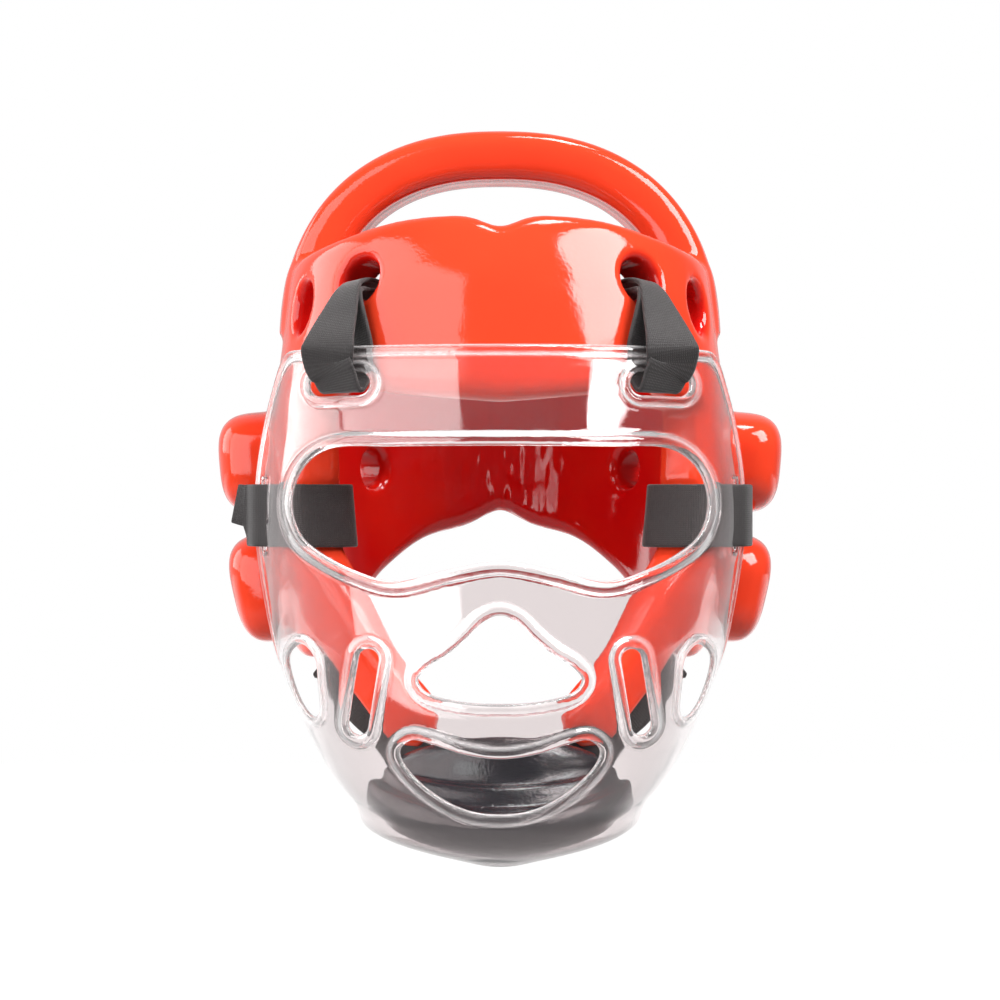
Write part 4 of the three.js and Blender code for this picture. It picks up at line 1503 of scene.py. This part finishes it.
    def distances(
        self, x: np.ndarray, y: np.ndarray, z: np.ndarray, maps: tuple[np.ndarray, ...]
    ) -> np.ndarray:
        """Signed distances to the shield: the sheet between two faces, less its openings, slots and edge.

        The rims stand off both faces, less on the inner one, and the wall thins towards the chin.

        Args:
            x: Places across.
            y: Depths.
            z: Heights.
            maps: The maps of front_maps.

        Returns:
            A distance for each place, near the surface.
        """
        step = 0.25
        held = self.held(z, step)
        across, up = self.slopes(x, held, step)
        outside = (self.depth(x, held) - y) / np.sqrt(1.0 + across**2 + up**2)
        nearest, raised = (self.sample(image, x, z) for image in maps[:2])
        from_edge = self.from_edge(y, z)
        rolled = self.edge_height * smooth_step(*self.edge_rolled, z)
        raised = np.maximum(raised, self.roll(from_edge, self.edge_width) * rolled)
        wall = self.wall - self.thinned * smooth_step(*self.thinned_below, -z)
        sheet = np.maximum(outside - raised, -wall - self.inner_rise * raised - outside)
        slot_y, slot_z, half_y, half_z = self.rim_slot
        in_slot = np.maximum(np.abs(y - slot_y) - half_y, np.abs(z - slot_z) - half_z)
        in_slot = np.where(np.abs(x) > self.rim_slot_from, in_slot, self.far)
        solid = smooth_cut(sheet, np.minimum(nearest, in_slot), self.edge_round)
        return smooth_cut(solid, from_edge, self.edge_round)

    def sample(self, image: np.ndarray, x: np.ndarray, z: np.ndarray) -> np.ndarray:
        """A map's value at places seen from the front, mixed from the four nearest steps.

        Args:
            image: The map.
            x: Places across.
            z: Heights.

        Returns:
            The value at each place.
        """
        x, z = np.broadcast_arrays(x, z)
        across = np.clip((x - self.space.low[0]) / self.map_step, 0.0, image.shape[0] - 1.001)
        up = np.clip((z - self.space.low[2]) / self.map_step, 0.0, image.shape[1] - 1.001)
        i = across.astype(int)
        j = up.astype(int)
        u = across - i
        v = up - j
        low = image[i, j] * (1.0 - u) + image[i + 1, j] * u
        high = image[i, j + 1] * (1.0 - u) + image[i + 1, j + 1] * u
        return low * (1.0 - v) + high * v

    def build(self) -> bpy.types.Object:
        """Returns:
            The shield's object.
        """
        maps = self.front_maps()
        skin = self.space.surface(self.distances(*self.space.axes(), maps))
        for _ in range(3):
            skin.points = self._nearer(skin.points, maps)
        x, y, z = skin.relaxed(1).points.T
        # painted highlight: thin lines on the rims' borders, and on the sheet's edge below the brow, which
        # the material whitens
        edge = self.borders(self.from_edge(y, z), self.edge_width) * smooth_step(*self.edge_highlight_span, z)
        skin.marks = {"painted_rim_highlight": np.maximum(self.sample(maps[2], x, z), edge)}
        piece = skin.to_object("clear_shield", self.finish.material())
        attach(piece, "root")
        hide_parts("face_shield")
        return piece

    def _nearer(self, points: np.ndarray, maps: tuple[np.ndarray, ...]) -> np.ndarray:
        """Points moved towards the surface, by the distance times its slope over the slope's square.

        Args:
            points: Points near the surface.
            maps: The maps of front_maps.

        Returns:
            The moved points.
        """
        nudge = 0.05
        least_square = 0.2
        most = 0.4
        slopes = []
        for axis in np.eye(3) * nudge:
            ahead = self.distances(*(points + axis).T, maps)
            behind = self.distances(*(points - axis).T, maps)
            slopes.append((ahead - behind) / (2.0 * nudge))
        slope = np.stack(slopes, axis=-1)
        value = self.distances(*points.T, maps)[:, None]
        move = value * slope / np.maximum((slope**2).sum(-1, keepdims=True), least_square)
        return points - np.clip(move, -most, most)


@dataclass
class ChinCup:
    """The chin cup: a stepped section carried round the chin and closed by rounded ends."""

    centre_y: float = -85.0
    end_turn: float = 80.0
    end_share: float = 0.07
    stations: int = 120
    rows: Table = Table(
        ("half_width", "reach", "z", "lift"),
        (
            (23.3, 21.7, -270.4, 12.9),
            (40.9, 36.7, -269.3, 8.3),
            (46.1, 45.7, -263.9, 8.6),
            (52, 51.8, -256.6, 7.6),
            (51.5, 49.5, -251, 10),
            (47.5, 43, -249.5, 9),
            (46, 38.5, -243, 6),
            (44.5, 35.5, -241, 5),
            (43, 32, -228, -8),
            (40.5, 28.5, -224, -11),
            (37, 25, -226.5, -9),
            (35.5, 24, -243, 2),
            (32, 18, -255, 8),
        ),
    )
    finish: DippedFoam = DippedFoam(
        "cup_foam", (0.011, 0.011, 0.013), (0.018, 0.018, 0.021), (0.14, 0.24), 0.00024, 0.0004, 0.3, 0.5
    )

    def build(self) -> bpy.types.Object:
        """Returns:
            The cup's object.
        """
        section = smooth_path(np.array(self.rows.rows, float), 7, closed=True)
        turn = np.radians(np.linspace(-self.end_turn, self.end_turn, self.stations))[:, None]
        wide, reach, z, lift = (section[None, :, i] for i in range(4))
        aside = 1.0 - np.abs(np.cos(turn)) ** 1.5
        rings = stacked(wide * np.sin(turn), self.centre_y - reach * np.cos(turn), z + lift * aside)
        along = np.abs(turn) / math.radians(self.end_turn)
        into = np.clip((along - 1.0 + self.end_share) / self.end_share, 0.0, 1.0)
        keep = np.sqrt(np.maximum(1.0 - into**2, 0.01))[..., None]
        middle = rings.mean(axis=1, keepdims=True)
        skin = Skin.from_rings(middle + (rings - middle) * keep, closed=False)
        piece = skin.to_object("padded_chin_cup", self.finish.material())
        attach(piece, "root")
        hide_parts("chin_cup")
        return piece


@dataclass(frozen=True)
class TapeRow:
    """A place on a tape: its path, the way its width points, its width and the width's shift off the path."""

    at: np.ndarray
    wide: np.ndarray
    width: float
    shift: float = 0.0


@dataclass(frozen=True)
class Tape:
    """A flat woven tape with round borders, carried along a smooth path."""

    rows: tuple[TapeRow, ...]
    thickness: float = 1.8
    steps: int = 14

    def skin(self) -> Skin:
        """A flat section with round borders, turned to the path and to the rows' own width direction.

        Returns:
            The closed tape, with its map in metres: across the tape, then along it.
        """
        middle = smooth_path(np.array([row.at for row in self.rows]), self.steps)
        place = np.arange(len(middle)) / self.steps
        knots = np.arange(len(self.rows))
        wide = np.array([row.wide for row in self.rows])
        wide = np.stack([np.interp(place, knots, wide[:, axis]) for axis in range(3)], axis=-1)
        half = np.interp(place, knots, [row.width / 2.0 for row in self.rows])[:, None]
        shift = np.interp(place, knots, [row.shift for row in self.rows])[:, None]
        tangent = unit(np.gradient(middle, axis=0))
        aside = unit(wide - tangent * (wide * tangent).sum(-1, keepdims=True))
        face = np.cross(tangent, aside)
        thick = self.thickness / 2.0
        turn = np.linspace(-math.pi / 2.0, math.pi / 2.0, 7)
        flat = np.linspace(-1.0, 1.0, 15)[1:-1]
        across = np.concatenate([flat * 0.0, turn * 0.0 + 1.0, flat * 0.0, turn * 0.0 - 1.0])
        border = np.concatenate([flat, np.cos(turn), -flat, np.cos(turn)])
        rise = np.concatenate([flat * 0.0 - 1.0, np.sin(turn), flat * 0.0 + 1.0, -np.sin(turn)])
        core = half - thick
        on_flat = across == 0.0
        sideways = np.where(on_flat, border * core, across * (core + thick * border)) + shift
        lift = (rise * thick)[None, :, None]
        rings = middle[:, None] + aside[:, None] * sideways[..., None] + face[:, None] * lift
        along = np.concatenate([[0.0], np.cumsum(np.linalg.norm(np.diff(middle, axis=0), axis=1))])
        uv = stacked(sideways, along[:, None]) * METRES
        return Skin.from_rings(rings, closed=False, uv=uv)


@dataclass
class Straps:
    """The webbing: two top straps, two side straps and the chin strap."""

    head: HeadForm = HeadForm()
    shield: FaceShield = field(default_factory=FaceShield)
    hole: WallHole = STRAP_HOLE
    slot_x: float = 61.5
    slot_z: float = -89.5
    top_width: float = 22.0
    hole_width: float = 14.0
    side_half: float = 12.5
    side_clear: float = 1.9
    arm_half: float = 10.2
    chin_width: float = 20.0
    chin_back: float = 7.6
    chin_shown: Table = Table(
        ("step", "shown"),
        ((4.1, 16.0), (4.35, 15.0), (4.65, 13.5), (4.95, 13.0), (5.25, 12.0), (5.5, 10.0)),
    )
    cup_width: float = 17.0
    cup_middle: float = -85.0
    cup_half: float = 29.5
    cup_reach: float = 16.0
    cup_path: Table = Table(("angle", "z"), ((50.0, -241.2), (24.0, -242.4), (0.0, -243.0)))
    finish: Webbing = Webbing()

    def top(self) -> Tape:
        """The right top strap: out through the forehead's hole, round the shield's top bar and back.

        Returns:
            The tape.
        """
        middle, out, up = self.hole.axis(self.head)
        around = np.cross(up, out)
        slot_x = self.slot_x
        slot_z = self.slot_z
        edge = self.shield.sections.first
        behind = -self.shield.wall
        normal = self.shield.normal(np.array(slot_x), np.array(slot_z))
        level = unit(normal * np.array([1.0, 1.0, 0.0]))
        flat = np.array([-level[1], level[0], 0.0])
        outer = np.array([1.0, 0.0, 0.0])
        narrow = self.hole_width
        full = self.top_width

        def in_hole(through: float, rise: float, width: float) -> TapeRow:
            """A row in the hole, at a distance through the wall and a height on it."""
            return TapeRow(middle + out * through + up * rise, around, width)

        def at_shield(x: float, z: float, height: float, width: float) -> TapeRow:
            """A row over the shield's face."""
            return TapeRow(self.shield.off_face(x, z, height), flat, width)

        bulge = self.shield.off_face(60.5, edge, 8.2)
        bulge[2] = edge - 0.5
        leave = middle + out * 12.0 - up * 3.6
        return Tape(
            (
                in_hole(-12.4, 19.0, 17.0),
                in_hole(-12.2, 11.0, narrow + 1.0),
                in_hole(-11.2, 5.0, narrow),
                in_hole(-3.0, 1.4, narrow - 3.0),
                in_hole(6.0, 0.0, narrow - 4.0),
                TapeRow(leave, around, narrow - 3.0),
                TapeRow(0.5 * (leave + bulge) + level, unit(around + flat + outer), narrow + 3.0),
                TapeRow(bulge, unit(flat + 0.8 * outer), full + 0.5),
                TapeRow(self.shield.off_face(62.0, edge - 7.5, 5.6), unit(flat + 0.45 * outer), full + 0.5),
                TapeRow(self.shield.off_face(slot_x, slot_z + 3.0, 3.2), unit(flat + 0.2 * outer), full),
                at_shield(slot_x, slot_z - 2.4, behind / 2.0, full),
                at_shield(slot_x, slot_z + 3.0, behind - 3.2, full),
                at_shield(60.0, edge - 3.0, behind - 4.0, full - 2.0),
                in_hole(13.0, -7.5, narrow),
                in_hole(6.0, -4.2, narrow - 4.0),
                in_hole(-3.0, -3.4, narrow - 3.0),
                in_hole(-11.2, -5.0, narrow),
                in_hole(-12.2, -11.0, narrow + 1.0),
                in_hole(-12.7, -19.0, 17.0),
            )
        )

    def side(self, loose_end: bool) -> Tape:
        """The right side strap: from the arm's inner face round its front edge and out through the shield.

        Args:
            loose_end: Whether its end stands off the shield's rim instead of going round it.

        Returns:
            The tape.
        """
        arm = CheekArm(self.head)
        off = self.arm_half + self.side_clear
        slot_y, z, _, _ = self.shield.rim_slot
        width = 2.0 * self.side_half
        levels = np.array([z + self.side_half, z - self.side_half])
        upright = np.array([0.0, 0.0, 1.0])

        def between(pair: np.ndarray) -> TapeRow:
            """A row between a place on the upper border and the same place on the lower one."""
            level = pair.mean(axis=0) * np.array([1.0, 1.0, 0.0]) + z * upright
            return TapeRow(level, unit(unit(pair[0] - pair[1]) + upright), width)

        def inner(degrees: float) -> TapeRow:
            """A row on the arm's inner face."""
            angle = np.full(2, math.radians(degrees))
            out = self.head.directions(angle, levels)[0]
            return between(self.head.point(angle, levels) - out * off)

        def around(degrees: float) -> TapeRow:
            """A row round the arm's front edge."""
            centre, out, past, _ = arm.edge(arm.step_at(levels - 10.0), 1)
            aside = (off + 0.9) * signed_power(math.sin(math.radians(degrees)), arm.fullness)
            ahead = (off + 3.4) * math.cos(math.radians(degrees)) ** arm.fullness
            return between(centre + out * aside + past * ahead)

        def wall(y: float, height: float) -> TapeRow:
            """A row over the shield's side at a depth."""
            across = np.linspace(60.0, self.shield.sections.rows[3][1], 4000)
            x = np.interp(y, self.shield.depth(across, np.full_like(across, z)), across)
            return TapeRow(self.shield.off_face(x, z, height), upright, width)

        rim = float(self.shield.read(np.array(z), "rim"))
        wide = float(self.shield.read(np.array(z), "half_width"))
        slant = unit(np.array([-0.23, 0.0, 1.0]))
        tucked = [
            TapeRow(np.array([wide + x, rim + y, z]), upright, width)
            for x, y in ((2.4, -1.0), (0.6, 3.0), (-3.6, 2.6))
        ]
        loose = [
            TapeRow(np.array([wide + 2.7, rim - 3.0, z]), upright, width),
            TapeRow(np.array([wide + 4.4, rim - 1.6, z]), upright, width - 8.0, 4.0),
            TapeRow(np.array([wide + 9.0, rim + 1.0, z + 0.8]), slant, width - 9.0, 4.0),
        ]
        ending = loose if loose_end else tucked
        return Tape(
            (
                inner(78.0),
                inner(72.0),
                inner(66.0),
                around(-85.0),
                around(-62.0),
                around(-42.0),
                around(0.0),
                around(46.0),
                wall(slot_y - 6.0, -self.shield.wall - 3.2),
                wall(slot_y + 0.6, -self.shield.wall / 2.0),
                wall(slot_y + 5.0, 2.0),
                *ending,
            )
        )

    def chin(self) -> Tape:
        """The chin strap: behind one cheek arm's lower edge, through the cup and up behind the other arm.

        Returns:
            The tape.
        """
        arm = CheekArm(self.head)
        width = self.chin_width
        in_cup = self.cup_width
        level = np.array([1.0, 0.0, 1.0])
        rows = []
        for step, shown in self.chin_shown.rows:
            centre, _, past, half = arm.edge(np.array([step - 0.1, step, step + 0.1]), -1)
            way = unit((centre[2] - centre[0]) * level)
            wide = np.array([-way[2], 0.0, way[0]])
            place = centre[1] + past[1] * half[1] + wide * (shown - width / 2.0)
            rows.append(TapeRow(place + np.array([0.0, self.chin_back, 0.0]), wide, width))
        rows.append(TapeRow(np.array([38.0, -76.0, -231.0]), np.array([0.6, -0.1, -0.75]), width - 1.0))
        rows.append(TapeRow(np.array([28.0, -87.0, -239.4]), np.array([0.1, -0.05, -1.0]), in_cup))
        for degrees, z in self.cup_path.rows:
            sine = math.sin(math.radians(degrees))
            cosine = math.cos(math.radians(degrees))
            place = np.array([self.cup_half * sine, self.cup_middle - self.cup_reach * cosine, z])
            rows.append(TapeRow(place, np.array([-0.15 * sine, 0.15 * cosine, -1.0]), in_cup))
        flip = np.array([-1.0, 1.0, 1.0])
        rows.extend(TapeRow(row.at * flip, row.wide * flip, row.width) for row in rows[-2::-1])
        return Tape(tuple(rows))

    def build(self) -> list[bpy.types.Object]:
        """Returns:
            The straps' objects.
        """
        material = self.finish.material()
        tapes = [("chin_strap", self.chin(), Side.RIGHT)]
        for side in Side:
            tapes.append((f"top_strap_{side.label}", self.top(), side))
            tapes.append((f"side_strap_{side.label}", self.side(side is Side.LEFT), side))
        pieces = []
        for node, tape, side in tapes:
            skin = tape.skin()
            skin.points = side.mirrored(skin.points)
            piece = skin.outward().to_object(f"{node}_tape", material)
            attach(piece, "root")
            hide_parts(node)
            pieces.append(piece)
        return pieces


@dataclass(frozen=True)
class Softbox:
    """A rectangular lamp in the studio, aimed at a place."""

    name: str
    place: tuple[float, float, float]
    size: tuple[float, float]
    power: float
    aim: tuple[float, float, float] = (0.0, -0.02, -0.12)

    def build(self) -> None:
        """Makes the lamp and turns its face to its aim."""
        lamp = bpy.data.lights.new(self.name, "AREA")
        lamp.shape = "RECTANGLE"
        lamp.size, lamp.size_y = self.size
        lamp.energy = self.power
        holder = bpy.data.objects.new(self.name, lamp)
        bpy.context.scene.collection.objects.link(holder)
        holder.location = self.place
        way = Vector(self.aim) - Vector(self.place)
        holder.rotation_euler = way.to_track_quat("-Z", "Y").to_euler()


@dataclass
class Studio:
    """A plain pale floor, soft white light and the camera in front of the part."""

    floor_z: float = -0.8
    floor_half: float = 6.0
    floor_glow: float = 0.95
    glow_from: tuple[float, float] = (0.5, 2.5)
    floor_tones: tuple[tuple[float, ...], ...] = ((0.3, 0.3, 0.3), (0.33, 0.33, 0.33))
    lens: float = 102.9
    camera_place: tuple[float, float, float] = (0.0, -1.2, -0.134)
    backdrop_light: float = 0.5
    room_light: float = 0.09
    room_fade: tuple[float, float] = (0.2, 0.8)
    room_lean: float = -0.5
    lamps: tuple[Softbox, ...] = (
        Softbox("right_softbox", (0.93, -0.58, 0.81), (0.85, 0.9), 37.0),
        Softbox("left_panel", (-1.24, -1.0, 0.62), (2.36, 2.06), 60.0, (-0.02, 0.03, 0.62)),
        Softbox("left_back_panel", (-2.1, 0.8, 0.75), (1.7, 1.7), 27.0, (0.0, 0.0, 0.75)),
        Softbox("top_softbox", (0.25, -0.15, 1.3), (0.5, 0.3), 11.0),
    )

    def build(self) -> None:
        """Makes the floor, the lamps, the white surroundings and the camera."""
        scene = bpy.context.scene
        scene.view_settings.view_transform = "Standard"
        scene.world = self._surroundings()
        for lamp in self.lamps:
            lamp.build()
        self._floor()
        camera = bpy.data.cameras.new("front")
        camera.lens = self.lens
        camera.sensor_width = 36.0
        holder = bpy.data.objects.new("front", camera)
        holder.location = self.camera_place
        holder.rotation_euler = (math.pi / 2.0, 0.0, 0.0)
        scene.collection.objects.link(holder)
        scene.camera = holder

    def _surroundings(self) -> bpy.types.World:
        """A white backdrop behind the part that fades into a dim room, in front of it and to its right.

        Returns:
            The world, whose strength goes from the room's to the backdrop's light as Y - X / 2 of a way
            rises; seen straight or through the clear sheet it is white all round.
        """
        world = bpy.data.worlds.new("studio")
        world.use_nodes = True
        nodes = Nodes(world.node_tree)
        way = nodes.add("ShaderNodeTexCoord").outputs["Generated"]
        parts = nodes.add("ShaderNodeSeparateXYZ", Vector=way).outputs
        lean = nodes.combined("MULTIPLY_ADD", parts["X"], self.room_lean, parts["Y"])
        lights = (self.room_light, self.backdrop_light)
        fade = nodes.spread(lean, self.room_fade, lights, "SMOOTHSTEP")
        shown = world.node_tree.nodes["Background"].inputs
        nodes.put(shown["Strength"], nodes.larger(self._straight(nodes), fade))
        nodes.put(shown["Color"], WHITE)
        return world

    @staticmethod
    def _straight(nodes: Nodes) -> bpy.types.NodeSocket:
        """1 for light seen straight or through clear sheets, 0 once it was mirrored or scattered.

        Args:
            nodes: The tree to add the test to.

        Returns:
            The test's result.
        """
        light = nodes.add("ShaderNodeLightPath").outputs
        turns = nodes.combined("ADD", light["Glossy Depth"], light["Diffuse Depth"])
        return nodes.combined("LESS_THAN", turns, 0.5)

    def _floor(self) -> None:
        """A wide flat floor with a pale painted finish.

        Seen straight or through the clear sheet it glows all over, and in reflections only towards the back.
        """
        half = self.floor_half
        corners = [(-half, -half), (half, -half), (half, half), (-half, half)]
        mesh = bpy.data.meshes.new("floor")
        mesh.from_pydata([(x, y, self.floor_z) for x, y in corners], [], [(0, 1, 2, 3)])
        nodes = MaterialNodes("pale_floor")
        place = nodes.object_place()
        tone = nodes.mixed(nodes.noise(place, 4.0), *self.floor_tones)
        shader = nodes.add("ShaderNodeBsdfPrincipled", Base_Color=tone, Roughness=0.8)
        back = nodes.add("ShaderNodeSeparateXYZ", Vector=place).outputs["Y"]
        mirrored = nodes.spread(back, self.glow_from, (0.0, self.floor_glow))
        seen = nodes.times(self._straight(nodes), self.floor_glow)
        nodes.put(shader.inputs["Emission Color"], WHITE)
        nodes.put(shader.inputs["Emission Strength"], nodes.larger(mirrored, seen))
        mesh.materials.append(nodes.finish(shader.outputs["BSDF"]))
        floor = bpy.data.objects.new("floor", mesh)
        bpy.context.scene.collection.objects.link(floor)


def report(piece: bpy.types.Object) -> None:
    """Logs a piece's name and its number of points."""
    LOG.info("%s: %d points", piece.name, len(piece.data.vertices))


def main() -> None:
    """Builds the studio and every piece."""
    logging.basicConfig(level=logging.INFO, format="%(message)s")
    Studio().build()
    report(FoamShell().build())
    report(FaceShield().build())
    report(ChinCup().build())
    for strap in Straps().build():
        report(strap)


if __name__ == "__main__":
    main()
